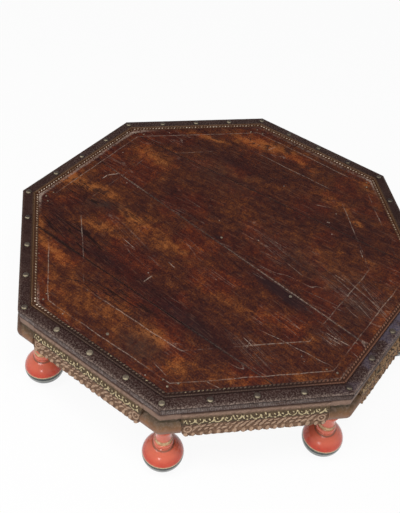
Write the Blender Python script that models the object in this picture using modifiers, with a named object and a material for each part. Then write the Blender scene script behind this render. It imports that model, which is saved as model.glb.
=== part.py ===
"""Octagonal low tea table: a boarded top bound in nailed iron, on a carved frame with lacquered feet.

Units are metres and +Z is up. The origin is on the floor under the middle of the top, and the front side
faces -Y. Mouldings and cuts are drawn for the front side, or for the corner at its right-hand end, and the
other sides are turned copies.
"""

import math

import bmesh
import bpy
from mathutils import Matrix, Vector

TABLE_NAME = "low_tea_table"
SIDES = ("front", "front_right", "right", "back_right", "back", "back_left", "left", "front_left")
TURN = math.tau / len(SIDES)
MITRE = math.tan(TURN / 2)

# Whole table
RIM_APOTHEM = 0.300  # middle of the table to the outer edge of a strap
TOP_HEIGHT = 0.1675  # floor to the upper face of the straps
CLEARANCE = 0.0003  # between pieces that touch
OVERCUT = 0.005  # how far a cutter runs past the face that it cuts
WELD_DISTANCE = 0.000001
SHARP_ANGLE = math.radians(35)  # edges of turned pieces above this stay sharp

# Boards of the top: each joint's direction, and its distance from the middle towards the back right
BOARD_THICKNESS = 0.013
REBATE_DEPTH = 0.0010  # seat of the straps and strips, under the face of the boards
JOINT_ANGLES = (math.radians(-46.5), math.radians(-51), math.radians(-42))
JOINT_OFFSETS = (-0.1725, -0.0145, 0.1215)
TONGUE_THICKNESS = 0.004
TONGUE_WIDTH = 0.016
TONGUE_STOP = 0.035  # end of a loose tongue to the outline of the boards

# Iron straps on the top, and their dome nails
STRAP_WIDTH = 0.017
STRAP_THICKNESS = 0.0012
STRAP_LAP = 0.009  # corner nail to the joint with the next strap
NAIL_INSET = 0.0095  # outer edge of a strap to the row of nails
NAILS_BETWEEN_CORNERS = 3
NAIL_HEAD_RADIUS = 0.0046
NAIL_HEAD_HEIGHT = 0.0027
NAIL_SHANK_RADIUS = 0.0012
NAIL_LENGTH = 0.010  # under the strap
NAIL_BITE = 0.0002  # how far a head is driven into the strap
NAIL_SEGMENTS = 8
DOME_STEPS = 2

# Half-round iron bands on the edge of the top
BAND_THICKNESS = 0.0026
BAND_EDGE = 0.0011  # thickness left at the upper and lower edge
BAND_STEPS = 6

# Beaded strips along the inner edge of the straps
STRIP_WIDTH = 0.008
STRIP_BASE = 0.0008
RIDGE_WIDTH = 0.0024
RIDGE_HEIGHT = 0.0018
BEAD_RADIUS = 0.0021
BEAD_STEPS = 5

# Carved frame
FRAME_SETBACK = 0.001  # edge of the top to the face of the frame
FILLET_HEIGHT = 0.0100  # plain band above the carving
APRON_THICKNESS = 0.018
APRON_HEIGHT = 0.0417
GARLAND_HEIGHT = 0.0110  # rounded flower band under the fillet
GARLAND_PROJECTION = 0.0040
GROOVE_DEPTH = 0.0012
GROOVE_HEIGHT = 0.0008
LEAF_PROJECTION = 0.0076  # flared leaf band, at its lower edge
LEAF_SWEEP = 0.0012  # hollow of the flare
SCALLOPS = 18
SCALLOP_DEPTH = 0.0020
SCALLOP_STEPS = 3
APRON_END_ROUND = 0.0090
CURVE_STEPS = 4

# Corner posts
POST_LENGTH = 0.027  # along each side, from the corner
POST_DEPTH = 0.040
POST_FILLET = 0.0116
COVE_HEIGHT = 0.0085
COVE_DEPTH = 0.0026
TORUS_HEIGHT = 0.0200
TORUS_PROJECTION = 0.0063
STOCK = 0.002  # waste cut from the blank of a post

# Mortise and tenon between aprons and posts
TENON_LENGTH = 0.010
TENON_THICKNESS = 0.007
TENON_HEIGHT = 0.018
TENON_INSET = 0.0065  # face of the fillet to the cheek of the tenon
TENON_DROP = 0.009  # top of the frame to the top of the tenon

# Battens under the boards
BATTEN_WIDTH = 0.036
BATTEN_THICKNESS = 0.016
BATTEN_SPACING = 0.124
BATTEN_HOUSING = 0.006  # length of a batten's end let into an apron
BATTEN_SIDES = ("front_left", "back_right")

# Turned feet
FOOT_INSET = 0.0231  # faces of a post to the axis of its foot
FOOT_SPIGOT_RADIUS = 0.0087
FOOT_SPIGOT_LENGTH = 0.026
FOOT_SEGMENTS = 16
SHOULDER_RADIUS = 0.0160
SHOULDER_HEIGHT = 0.0055
WAIST_RADIUS = 0.0098
RING_RADIUS = 0.0135
RING_HALF_HEIGHT = 0.0032
RING_CENTRE = 0.0880
RING_STEPS = 2
COLLAR_RADIUS = 0.0118
COLLAR_LOW = 0.0600
COLLAR_HIGH = 0.0665
COLLAR_BEAD_HEIGHT = 0.0085  # half-round bead under the collar
COLLAR_BEAD_PROJECTION = 0.0018
COLLAR_BEAD_STEPS = 3
BALL_RADIUS = 0.0292
BALL_CENTRE = 0.0262
BALL_TOP = 0.0490
BALL_TOP_RADIUS = 0.0138
BASE_RADIUS = 0.0150
BASE_HEIGHT = 0.0040
UPPER_BALL_STEPS = 5
LOWER_BALL_STEPS = 3

# Heights that follow
STRAP_BOTTOM = TOP_HEIGHT - STRAP_THICKNESS
SEAT_HEIGHT = STRAP_BOTTOM - CLEARANCE
BOARD_TOP = SEAT_HEIGHT + REBATE_DEPTH
BOARD_BOTTOM = BOARD_TOP - BOARD_THICKNESS
FRAME_TOP = BOARD_BOTTOM - CLEARANCE
APRON_BOTTOM = FRAME_TOP - APRON_HEIGHT
POST_BOTTOM = FRAME_TOP - POST_FILLET - COVE_HEIGHT - TORUS_HEIGHT
FOOT_TOP = POST_BOTTOM - CLEARANCE

# Places that follow
BOARD_APOTHEM = RIM_APOTHEM - BAND_THICKNESS - CLEARANCE
STRAP_INNER = RIM_APOTHEM - STRAP_WIDTH
NAIL_APOTHEM = RIM_APOTHEM - NAIL_INSET
STRIP_OUTER = STRAP_INNER - CLEARANCE
STRIP_INNER = STRIP_OUTER - STRIP_WIDTH
FRAME_APOTHEM = RIM_APOTHEM - FRAME_SETBACK
POST_PLANE = FRAME_APOTHEM * MITRE - POST_LENGTH  # end face of a post, along the side
APRON_INNER = FRAME_APOTHEM - APRON_THICKNESS
FOOT_AXIS = (FRAME_APOTHEM - FOOT_INSET) / math.cos(TURN / 2)

# A profile drawn as (outward, up) stands at the front side, with its length along X
PROFILE_TO_FRONT = Matrix(((0, 0, -1, 0), (-1, 0, 0, 0), (0, 1, 0, 0), (0, 0, 0, 1)))
# An outline drawn as (along, up) stands at the front side, with its thickness along Y
FACE_TO_FRONT = Matrix(((1, 0, 0, 0), (0, 0, -1, 0), (0, 1, 0, 0), (0, 0, 0, 1)))


def clear_scene():
    for obj in list(bpy.data.objects):
        bpy.data.objects.remove(obj, do_unlink=True)
    for group in list(bpy.data.collections):
        bpy.data.collections.remove(group)


def new_collection(name):
    group = bpy.data.collections.new(name)
    bpy.context.scene.collection.children.link(group)
    return group


def finish(name, colour, roughness, metallic):
    """A Principled material with one colour."""
    material = bpy.data.materials.new(name)
    material.use_nodes = True
    shader = material.node_tree.nodes["Principled BSDF"]
    shader.inputs["Base Color"].default_value = (*colour, 1)
    shader.inputs["Roughness"].default_value = roughness
    shader.inputs["Metallic"].default_value = metallic
    material.diffuse_color = (*colour, 1)
    return material


def arc(centre, radii, start, end, steps):
    """Points of an elliptical arc, both ends included, with its angles in radians."""
    angles = [start + (end - start) * i / steps for i in range(steps + 1)]
    return [(centre[0] + radii[0] * math.cos(a), centre[1] + radii[1] * math.sin(a)) for a in angles]


def turned_point(point, angle):
    """A plan point turned about the middle of the table."""
    c = math.cos(angle)
    s = math.sin(angle)
    return (point[0] * c - point[1] * s, point[0] * s + point[1] * c)


def settled(obj):
    """The object's evaluated shape as a welded mesh with outward faces. The object itself goes."""
    graph = bpy.context.evaluated_depsgraph_get()
    mesh = bpy.data.meshes.new_from_object(obj.evaluated_get(graph))
    bpy.data.objects.remove(obj)
    shape = bmesh.new()
    shape.from_mesh(mesh)
    bmesh.ops.remove_doubles(shape, verts=shape.verts, dist=WELD_DISTANCE)
    bmesh.ops.recalc_face_normals(shape, faces=shape.faces)
    shape.to_mesh(mesh)
    shape.free()
    return mesh


def loose_object(name, data):
    obj = bpy.data.objects.new(name, data)
    bpy.context.scene.collection.objects.link(obj)
    return obj


def plate(outline, thickness):
    """A flat outline in XY, filled and thickened evenly to both sides of z = 0."""
    curve = bpy.data.curves.new("outline", "CURVE")
    curve.dimensions = "2D"
    curve.fill_mode = "BOTH"
    curve.extrude = thickness / 2
    spline = curve.splines.new("POLY")
    spline.points.add(len(outline) - 1)
    for corner, (x, y) in zip(spline.points, outline):
        corner.co = (x, y, 0, 1)
    spline.use_cyclic_u = True
    return settled(loose_object("outline", curve))


def slab(outline, low, high):
    """A plan outline from one height to another."""
    mesh = plate(outline, high - low)
    mesh.transform(Matrix.Translation((0, 0, (low + high) / 2)))
    return mesh


def moulding(profile, half_length):
    """A profile of (outward, up) points run along the front side."""
    mesh = plate(profile, 2 * half_length)
    mesh.transform(PROFILE_TO_FRONT)
    return mesh


def mitred(mesh):
    """Cuts both ends of a front moulding at the lines through the table's corners."""
    shape = bmesh.new()
    shape.from_mesh(mesh)
    for way in (1, -1):
        normal = Vector((way * math.cos(TURN / 2), math.sin(TURN / 2), 0))
        everything = list(shape.verts) + list(shape.edges) + list(shape.faces)
        bmesh.ops.bisect_plane(
            shape, geom=everything, plane_co=-normal * CLEARANCE / 2, plane_no=normal, clear_outer=True
        )
        bmesh.ops.holes_fill(shape, edges=[edge for edge in shape.edges if edge.is_boundary])
    bmesh.ops.recalc_face_normals(shape, faces=shape.faces)
    shape.to_mesh(mesh)
    shape.free()
    return mesh


def turned(name, profile, segments):
    """A profile of (radius, height) points, top to bottom, turned about Z."""
    mesh = bpy.data.meshes.new(name)
    edges = [(i, i + 1) for i in range(len(profile) - 1)]
    mesh.from_pydata([(radius, 0, height) for radius, height in profile], edges, [])
    obj = loose_object(name, mesh)
    screw = obj.modifiers.new("Turning", "SCREW")
    screw.steps = segments
    screw.render_steps = segments
    screw.use_merge_vertices = True
    screw.merge_threshold = WELD_DISTANCE
    solid = settled(obj)
    solid.shade_smooth()
    solid.set_sharp_from_angle(angle=SHARP_ANGLE)
    return solid


def box(low, high):
    """A box between two corners."""
    shape = bmesh.new()
    bmesh.ops.create_cube(shape, size=1)
    mesh = bpy.data.meshes.new("box")
    shape.to_mesh(mesh)
    shape.free()
    size = [b - a for a, b in zip(low, high)]
    middle = [(a + b) / 2 for a, b in zip(low, high)]
    mesh.transform(Matrix.LocRotScale(middle, None, size))
    return mesh


def cylinders(radius, low, high, centres, segments):
    """Upright cylinders at the given plan points, in one mesh."""
    shape = bmesh.new()
    for x, y in centres:
        bmesh.ops.create_cone(
            shape,
            cap_ends=True,
            segments=segments,
            radius1=radius,
            radius2=radius,
            depth=high - low,
            matrix=Matrix.Translation((x, y, (low + high) / 2)),
        )
    mesh = bpy.data.meshes.new("cylinders")
    shape.to_mesh(mesh)
    shape.free()
    return mesh


def combine(obj, other, operation):
    """A Boolean with another object."""
    step = obj.modifiers.new(operation.title(), "BOOLEAN")
    step.operation = operation
    step.solver = "EXACT"
    step.object = other


def worked(mesh, cuts=(), additions=()):
    """The mesh with other meshes added to it, and then others cut from it."""
    obj = loose_object("blank", mesh)
    helpers = []
    for operation, shapes in (("UNION", additions), ("DIFFERENCE", cuts)):
        for shape in shapes:
            helper = loose_object("helper", shape)
            combine(obj, helper, operation)
            helpers.append(helper)
    result = settled(obj)
    for helper in helpers:
        bpy.data.objects.remove(helper)
    return result


def clipped(outline, normal, distance):
    """The part of a convex outline on the near side of the line at that distance along a normal."""
    kept = []
    for here, there in zip(outline, outline[1:] + outline[:1]):
        inside_here = distance - normal.dot(here)
        inside_there = distance - normal.dot(there)
        if inside_here >= 0:
            kept.append(here)
        if inside_here * inside_there < 0:
            kept.append(here.lerp(there, inside_here / (inside_here - inside_there)))
    return kept


def octagon(apothem):
    return [Vector(turned_point((apothem * MITRE, -apothem), TURN * i)) for i in range(len(SIDES))]


def nail_places():
    """Plan points of the nails in one strap: those along the side, and the one at its far corner."""
    reach = NAIL_APOTHEM * MITRE
    pitch = 2 * reach / (NAILS_BETWEEN_CORNERS + 1)
    return [(-reach + pitch * (i + 1), -NAIL_APOTHEM) for i in range(NAILS_BETWEEN_CORNERS + 1)]


def all_nail_places():
    return [turned_point(place, TURN * i) for i in range(len(SIDES)) for place in nail_places()]


def strap_mesh():
    """A strap that turns the corner at its far end, with its nails fixed in it."""
    start = -NAIL_APOTHEM * MITRE + STRAP_LAP
    first = start + CLEARANCE / 2
    last = start - CLEARANCE / 2
    outline = [
        (first, -RIM_APOTHEM),
        (RIM_APOTHEM * MITRE, -RIM_APOTHEM),
        turned_point((last, -RIM_APOTHEM), TURN),
        turned_point((last, -STRAP_INNER), TURN),
        (STRAP_INNER * MITRE, -STRAP_INNER),
        (first, -STRAP_INNER),
    ]
    sink = STRAP_THICKNESS / 2
    dome = arc((0, 0), (NAIL_HEAD_RADIUS, NAIL_HEAD_HEIGHT), math.pi / 2, 0, DOME_STEPS)
    profile = dome + [
        (NAIL_HEAD_RADIUS, -sink),
        (NAIL_SHANK_RADIUS, -sink),
        (NAIL_SHANK_RADIUS, -STRAP_THICKNESS - NAIL_LENGTH),
        (0, -STRAP_THICKNESS - NAIL_LENGTH),
    ]
    nails = []
    for x, y in nail_places():
        nail = turned("nail", profile, NAIL_SEGMENTS)
        nail.transform(Matrix.Translation((x, y, TOP_HEIGHT - NAIL_BITE)))
        nails.append(nail)
    return worked(slab(outline, STRAP_BOTTOM, TOP_HEIGHT), additions=nails)


def band_mesh():
    """A half-round band, flat against the edge of the boards."""
    back = RIM_APOTHEM - BAND_THICKNESS
    centre = (back + BAND_EDGE, (BOARD_BOTTOM + SEAT_HEIGHT) / 2)
    radii = (BAND_THICKNESS - BAND_EDGE, (SEAT_HEIGHT - BOARD_BOTTOM) / 2)
    profile = [(back, SEAT_HEIGHT), (back, BOARD_BOTTOM)]
    profile += arc(centre, radii, -math.pi / 2, math.pi / 2, BAND_STEPS)
    return mitred(moulding(profile, RIM_APOTHEM))


def strip_mesh():
    """A strip with a plain ridge on its outer side and a rounded bead on its inner side."""
    base = SEAT_HEIGHT + CLEARANCE
    bead = (STRIP_INNER + BEAD_RADIUS, base + STRIP_BASE)
    profile = [
        (STRIP_OUTER, base),
        (STRIP_OUTER, base + STRIP_BASE + RIDGE_HEIGHT),
        (STRIP_OUTER - RIDGE_WIDTH, base + STRIP_BASE + RIDGE_HEIGHT),
        (STRIP_OUTER - RIDGE_WIDTH, base + STRIP_BASE),
    ]
    profile += arc(bead, (BEAD_RADIUS, BEAD_RADIUS), 0, math.pi, BEAD_STEPS)
    profile.append((STRIP_INNER, base))
    return mitred(moulding(profile, RIM_APOTHEM))


def apron_profile():
    """Fillet, rounded garland band, groove and flared leaf band, top to bottom, then the plain back."""
    garland_top = FRAME_TOP - FILLET_HEIGHT
    garland_low = garland_top - GARLAND_HEIGHT
    leaf_top = garland_low - GROOVE_HEIGHT
    roll = arc(
        (FRAME_APOTHEM, garland_low), (GARLAND_PROJECTION, GARLAND_HEIGHT), math.pi / 2, 0, CURVE_STEPS
    )
    leaf_start = FRAME_APOTHEM + GARLAND_PROJECTION - GROOVE_DEPTH
    leaf_end = FRAME_APOTHEM + LEAF_PROJECTION
    leaf = []
    for i in range(CURVE_STEPS + 1):
        share = i / CURVE_STEPS
        hollow = LEAF_SWEEP * math.sin(math.pi * share)
        out = leaf_start + (leaf_end - leaf_start) * share - hollow
        leaf.append((out, leaf_top + (APRON_BOTTOM - leaf_top) * share))
    face = [(FRAME_APOTHEM, FRAME_TOP)] + roll + leaf
    return face + [(APRON_INNER, APRON_BOTTOM), (APRON_INNER, FRAME_TOP)]


def scallop_cutter(half_length):
    """What is sawn away under the leaves: round-ended lobes, and a rounded corner at each end."""
    low = APRON_BOTTOM - OVERCUT
    start = half_length - APRON_END_ROUND
    lobe = start / SCALLOPS
    line = arc(
        (-start, APRON_BOTTOM + APRON_END_ROUND), (APRON_END_ROUND, APRON_END_ROUND),
        math.pi, math.pi * 1.5, CURVE_STEPS,
    )
    line = [(-half_length - OVERCUT, APRON_BOTTOM + APRON_END_ROUND)] + line[:-1]
    for i in range(SCALLOPS):
        centre = (-start + lobe * (2 * i + 1), APRON_BOTTOM + SCALLOP_DEPTH)
        curve = arc(centre, (lobe, SCALLOP_DEPTH), math.pi, math.tau, SCALLOP_STEPS)
        line += curve if i == 0 else curve[1:]
    line += [(-x, z) for x, z in reversed(line[: CURVE_STEPS + 1])]
    line += [(half_length + OVERCUT, low), (-half_length - OVERCUT, low)]
    mesh = plate(line, 2 * (APRON_THICKNESS + LEAF_PROJECTION + OVERCUT))
    mesh.transform(Matrix.Translation((0, -FRAME_APOTHEM, 0)) @ FACE_TO_FRONT)
    return mesh


def tenon(start, end, ease):
    """The tenon, or with some ease its mortise, at the right-hand end of the front apron."""
    outer = -(FRAME_APOTHEM - TENON_INSET) - ease
    inner = outer + TENON_THICKNESS + 2 * ease
    top = FRAME_TOP - TENON_DROP + ease
    low = top - TENON_HEIGHT - 2 * ease
    return box((start, outer, low), (end + ease, inner, top))


def batten_places():
    return (-BATTEN_SPACING / 2, BATTEN_SPACING / 2)


def batten_box(x, ease):
    """A batten, or with some ease its housing, running from the front apron to the back one."""
    reach = APRON_INNER + BATTEN_HOUSING - CLEARANCE + ease
    half = BATTEN_WIDTH / 2 + ease
    top = FRAME_TOP + (OVERCUT if ease else 0)
    return box((x - half, -reach, FRAME_TOP - BATTEN_THICKNESS - ease), (x + half, reach, top))


def apron_mesh(housings):
    """A carved-edge apron with a tenon at each end, and housings for the battens where asked."""
    half_length = POST_PLANE - CLEARANCE
    right = tenon(half_length - OVERCUT, POST_PLANE + TENON_LENGTH - CLEARANCE, 0)
    left = right.copy()
    left.transform(Matrix.Rotation(math.pi, 4, "Z") @ Matrix.Scale(-1, 4, (0, 1, 0)))
    left.flip_normals()
    cuts = [scallop_cutter(half_length)]
    if housings:
        cuts += [batten_box(x, CLEARANCE) for x in batten_places()]
    return worked(moulding(apron_profile(), half_length), cuts, (left, right))


def post_face_cutter():
    """What is planed off the front face of a corner post: above a cove and a torus, a plain fillet."""
    cove_top = FRAME_TOP - POST_FILLET
    torus_top = cove_top - COVE_HEIGHT
    torus_middle = torus_top - TORUS_HEIGHT / 2
    cove = arc(
        (FRAME_APOTHEM, cove_top - COVE_HEIGHT / 2), (COVE_DEPTH, COVE_HEIGHT / 2),
        math.pi / 2, math.pi * 1.5, CURVE_STEPS,
    )
    torus = arc(
        (FRAME_APOTHEM, torus_middle), (TORUS_PROJECTION, TORUS_HEIGHT / 2),
        math.pi / 2, -math.pi / 2, 2 * CURVE_STEPS,
    )
    far = FRAME_APOTHEM + TORUS_PROJECTION + STOCK + OVERCUT
    profile = [(FRAME_APOTHEM, FRAME_TOP + OVERCUT)] + cove + torus[1:]
    profile += [(FRAME_APOTHEM, POST_BOTTOM - OVERCUT), (far, POST_BOTTOM - OVERCUT)]
    profile.append((far, FRAME_TOP + OVERCUT))
    return moulding(profile, RIM_APOTHEM)


def post_mesh():
    """A moulded post with mortises for two aprons and a socket for its foot."""
    face = FRAME_APOTHEM + TORUS_PROJECTION + STOCK
    back = FRAME_APOTHEM - POST_DEPTH
    outline = [
        (POST_PLANE, -face),
        (face * MITRE, -face),
        turned_point((-POST_PLANE, -face), TURN),
        turned_point((-POST_PLANE, -back), TURN),
        (POST_PLANE, -back),
    ]
    front = post_face_cutter()
    other = front.copy()
    other.transform(Matrix.Rotation(TURN, 4, "Z"))
    mortise = tenon(POST_PLANE - OVERCUT, POST_PLANE + TENON_LENGTH, CLEARANCE)
    second = mortise.copy()
    second.transform(Matrix.Rotation(TURN, 4, "Z") @ Matrix.Scale(-1, 4, (1, 0, 0)))
    second.flip_normals()
    socket = cylinders(
        FOOT_SPIGOT_RADIUS + CLEARANCE,
        POST_BOTTOM - OVERCUT,
        FOOT_TOP + FOOT_SPIGOT_LENGTH + CLEARANCE,
        [turned_point((0, -FOOT_AXIS), TURN / 2)],
        FOOT_SEGMENTS,
    )
    return worked(slab(outline, POST_BOTTOM, FRAME_TOP), (front, other, mortise, second, socket))


def foot_profile():
    """Spigot, shoulder, hollow neck with a ring, collar with a bead, squat ball and base, top to bottom."""
    spigot_top = FOOT_TOP + FOOT_SPIGOT_LENGTH
    shoulder_low = FOOT_TOP - SHOULDER_HEIGHT
    ring_core = RING_RADIUS - RING_HALF_HEIGHT
    ring_high = RING_CENTRE + RING_HALF_HEIGHT
    ring_low = RING_CENTRE - RING_HALF_HEIGHT
    bead_middle = COLLAR_LOW - COLLAR_BEAD_HEIGHT / 2
    top_angle = math.acos(BALL_TOP_RADIUS / BALL_RADIUS)
    base_angle = -math.acos(BASE_RADIUS / BALL_RADIUS)
    upper_height = (BALL_TOP - BALL_CENTRE) / math.sin(top_angle)
    lower_height = (BALL_CENTRE - BASE_HEIGHT) / math.sin(-base_angle)
    profile = [(0, spigot_top), (FOOT_SPIGOT_RADIUS, spigot_top), (FOOT_SPIGOT_RADIUS, FOOT_TOP)]
    profile += [(SHOULDER_RADIUS, FOOT_TOP), (SHOULDER_RADIUS, shoulder_low)]
    profile += [(WAIST_RADIUS, (shoulder_low + ring_high) / 2), (ring_core, ring_high)]
    profile += arc(
        (ring_core, RING_CENTRE), (RING_HALF_HEIGHT, RING_HALF_HEIGHT), math.pi / 4, -math.pi / 4, RING_STEPS
    )
    profile += [(ring_core, ring_low), (WAIST_RADIUS, (ring_low + COLLAR_HIGH) / 2)]
    profile.append((COLLAR_RADIUS, COLLAR_HIGH))
    profile += arc(
        (COLLAR_RADIUS, bead_middle), (COLLAR_BEAD_PROJECTION, COLLAR_BEAD_HEIGHT / 2),
        math.pi / 2, -math.pi / 2, COLLAR_BEAD_STEPS,
    )
    profile += arc((0, BALL_CENTRE), (BALL_RADIUS, upper_height), top_angle, 0, UPPER_BALL_STEPS)
    profile += arc((0, BALL_CENTRE), (BALL_RADIUS, lower_height), 0, base_angle, LOWER_BALL_STEPS)[1:]
    return profile + [(BASE_RADIUS, 0), (0, 0)]


def foot_mesh():
    mesh = turned("foot", foot_profile(), FOOT_SEGMENTS)
    x, y = turned_point((0, -FOOT_AXIS), TURN / 2)
    mesh.transform(Matrix.Translation((x, y, 0)))
    return mesh


def board_outlines():
    """The octagon of the top, divided at the joints between its boards."""
    rest = octagon(BOARD_APOTHEM)
    outlines = []
    for angle, offset in zip(JOINT_ANGLES, JOINT_OFFSETS):
        across = Vector((-math.sin(angle), math.cos(angle)))
        outlines.append(clipped(rest, across, offset - CLEARANCE / 2))
        rest = clipped(rest, -across, -offset - CLEARANCE / 2)
    return outlines + [rest]


def rebate_mesh():
    """What is cut from the rim of the boards, as a seat for the straps and strips."""
    waste = slab(octagon(RIM_APOTHEM), SEAT_HEIGHT, BOARD_TOP + OVERCUT)
    field = slab(octagon(STRIP_INNER - CLEARANCE), SEAT_HEIGHT - OVERCUT, BOARD_TOP + 2 * OVERCUT)
    return worked(waste, [field])


def tongue_boxes(angle, offset):
    """The loose tongue of one joint, and the slot that it lies in."""
    along = Vector((math.cos(angle), math.sin(angle)))
    across = Vector((-along.y, along.x))
    reach = BOARD_APOTHEM - TONGUE_STOP
    ends = []
    for way in (1, -1):
        lengths = []
        for i in range(len(SIDES)):
            normal = Vector(turned_point((0, -1), TURN * i))
            if normal.dot(along) * way > 0:
                lengths.append((reach - normal.dot(across) * offset) / (normal.dot(along) * way))
        ends.append(min(lengths) * way)
    middle = (BOARD_TOP + BOARD_BOTTOM) / 2
    place = Matrix.Rotation(angle, 4, "Z") @ Matrix.Translation((0, offset, middle))
    meshes = []
    for ease in (0, CLEARANCE):
        half = (TONGUE_WIDTH / 2 + ease, TONGUE_THICKNESS / 2 + ease)
        mesh = box((ends[1] - ease, -half[0], -half[1]), (ends[0] + ease, half[0], half[1]))
        mesh.transform(place)
        meshes.append(mesh)
    return meshes


def add_piece(name, mesh, material, parts, parent, turns=0):
    """A named piece of the table, turned to its side."""
    obj = bpy.data.objects.new(name, mesh)
    obj.rotation_euler.z = TURN * turns
    obj.parent = parent
    mesh.materials.clear()
    mesh.materials.append(material)
    parts.objects.link(obj)
    return obj


def add_cutter(name, mesh, cutters):
    obj = bpy.data.objects.new(name, mesh)
    obj.hide_render = True
    obj.display_type = "WIRE"
    cutters.objects.link(obj)
    return obj


def build_top(parts, cutters, parent):
    """Boards joined with loose tongues, with a rebate round the rim and holes for the strap nails."""
    wood = finish("dark_board_wood", (0.075, 0.022, 0.012), 0.42, 0)
    tongue_wood = finish("tongue_wood", (0.16, 0.075, 0.03), 0.7, 0)
    holes = cylinders(
        NAIL_SHANK_RADIUS + CLEARANCE,
        STRAP_BOTTOM - NAIL_LENGTH - CLEARANCE,
        BOARD_TOP + OVERCUT,
        all_nail_places(),
        NAIL_SEGMENTS,
    )
    nail_holes = add_cutter("nail_holes", holes, cutters)
    rim_rebate = add_cutter("rim_rebate", rebate_mesh(), cutters)
    boards = []
    for i, outline in enumerate(board_outlines()):
        mesh = slab(outline, BOARD_BOTTOM, BOARD_TOP)
        boards.append(add_piece(f"board_{i + 1}", mesh, wood, parts, parent))
    for i, (angle, offset) in enumerate(zip(JOINT_ANGLES, JOINT_OFFSETS)):
        tongue, slot = tongue_boxes(angle, offset)
        add_piece(f"loose_tongue_{i + 1}", tongue, tongue_wood, parts, parent)
        slot_cutter = add_cutter(f"tongue_slot_{i + 1}", slot, cutters)
        for board in boards[i : i + 2]:
            combine(board, slot_cutter, "DIFFERENCE")
    for board in boards:
        combine(board, rim_rebate, "DIFFERENCE")
        combine(board, nail_holes, "DIFFERENCE")


def build_rim(parts, parent):
    iron = finish("dark_iron", (0.045, 0.033, 0.034), 0.45, 0.7)
    band_iron = finish("worn_iron", (0.10, 0.085, 0.085), 0.4, 0.75)
    brass = finish("tarnished_brass", (0.24, 0.17, 0.095), 0.4, 0.85)
    strap = strap_mesh()
    band = band_mesh()
    strip = strip_mesh()
    for i, side in enumerate(SIDES):
        add_piece(f"strap_{side}", strap, iron, parts, parent, i)
        add_piece(f"edge_band_{side}", band, band_iron, parts, parent, i)
        add_piece(f"bead_strip_{side}", strip, brass, parts, parent, i)


def build_frame(parts, parent):
    carved = finish("painted_carved_wood", (0.30, 0.19, 0.10), 0.65, 0)
    plain = finish("plain_frame_wood", (0.27, 0.14, 0.075), 0.6, 0)
    rough = finish("rough_batten_wood", (0.18, 0.085, 0.04), 0.75, 0)
    apron = apron_mesh(False)
    housed_apron = apron_mesh(True)
    post = post_mesh()
    for i, side in enumerate(SIDES):
        mesh = housed_apron if side in BATTEN_SIDES else apron
        add_piece(f"apron_{side}", mesh, carved, parts, parent, i)
        add_piece(f"corner_post_{i + 1}", post, plain, parts, parent, i)
    for i, x in enumerate(batten_places()):
        add_piece(f"batten_{i + 1}", batten_box(x, 0), rough, parts, parent, SIDES.index(BATTEN_SIDES[0]))


def build_feet(parts, parent):
    lacquer = finish("red_lacquered_wood", (0.45, 0.045, 0.022), 0.22, 0)
    foot = foot_mesh()
    for i in range(len(SIDES)):
        add_piece(f"foot_{i + 1}", foot, lacquer, parts, parent, i)


def main():
    clear_scene()
    parts = new_collection(TABLE_NAME)
    cutters = new_collection("cutters")
    table = bpy.data.objects.new("table", None)
    parts.objects.link(table)
    build_top(parts, cutters, table)
    build_rim(parts, table)
    build_frame(parts, table)
    build_feet(parts, table)


main()
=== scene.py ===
"""Looks of an octagonal low tea table: worn boards bound in nailed iron, a carved frame and lacquered feet.

Lengths are metres and +Z is up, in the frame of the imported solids. Every piece is worked out as numpy arrays
for the front side, which faces -Y, or for the corner at its right-hand end, and turned to its place.
"""

import logging
import math
from dataclasses import dataclass, field
from enum import Enum
from typing import Dict, List, Tuple, Union

import bmesh
import bpy
import numpy as np
from mathutils import Matrix, Vector


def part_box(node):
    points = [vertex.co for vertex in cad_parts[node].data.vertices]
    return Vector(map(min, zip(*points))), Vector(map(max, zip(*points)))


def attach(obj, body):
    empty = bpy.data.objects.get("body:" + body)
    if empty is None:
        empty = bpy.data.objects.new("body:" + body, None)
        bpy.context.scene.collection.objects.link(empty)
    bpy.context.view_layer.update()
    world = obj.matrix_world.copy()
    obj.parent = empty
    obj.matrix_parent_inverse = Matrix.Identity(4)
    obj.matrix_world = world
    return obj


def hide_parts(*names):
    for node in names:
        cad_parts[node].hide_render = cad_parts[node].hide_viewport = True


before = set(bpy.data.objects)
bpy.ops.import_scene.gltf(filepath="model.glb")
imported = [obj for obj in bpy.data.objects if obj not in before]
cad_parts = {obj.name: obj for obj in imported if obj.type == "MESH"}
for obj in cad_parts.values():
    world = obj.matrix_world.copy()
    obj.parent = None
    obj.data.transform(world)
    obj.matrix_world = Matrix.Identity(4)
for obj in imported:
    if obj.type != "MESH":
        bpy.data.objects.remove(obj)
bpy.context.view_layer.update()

LOG = logging.getLogger("low_tea_table")
BODY = "root"
TURN = math.tau / 8  # From one side to the next.
MITRE = math.tan(TURN / 2)  # Half a side's length over its distance from the middle.
SLANT = math.sqrt(0.5)
GAP = 0.0003  # Between pieces that touch.
WELD = 1e-6  # Points nearer than this become one.
WAVES = 7  # Sine waves in a ripple.
MIX_A, MIX_B, MIX_OUT = 6, 7, 2  # Sockets of a Mix node of colours.

Array = np.ndarray
Numbers = Tuple[float, ...]
Pair = Tuple[float, float]
Triple = Tuple[float, float, float]
Colour = Tuple[float, float, float, float]
Material = bpy.types.Material
Socket = bpy.types.NodeSocket
Value = Union[float, Socket]
Tint = Union[Colour, Socket, str]
Look = Tuple[Socket, Socket, Socket]


class Side(Enum):
    """The eight sides, counted anticlockwise from the front."""

    FRONT = 0
    FRONT_RIGHT = 1
    RIGHT = 2
    BACK_RIGHT = 3
    BACK = 4
    BACK_LEFT = 5
    LEFT = 6
    FRONT_LEFT = 7

    @property
    def label(self) -> str:
        """The side's name as the solids spell it."""
        return self.name.lower()


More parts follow.
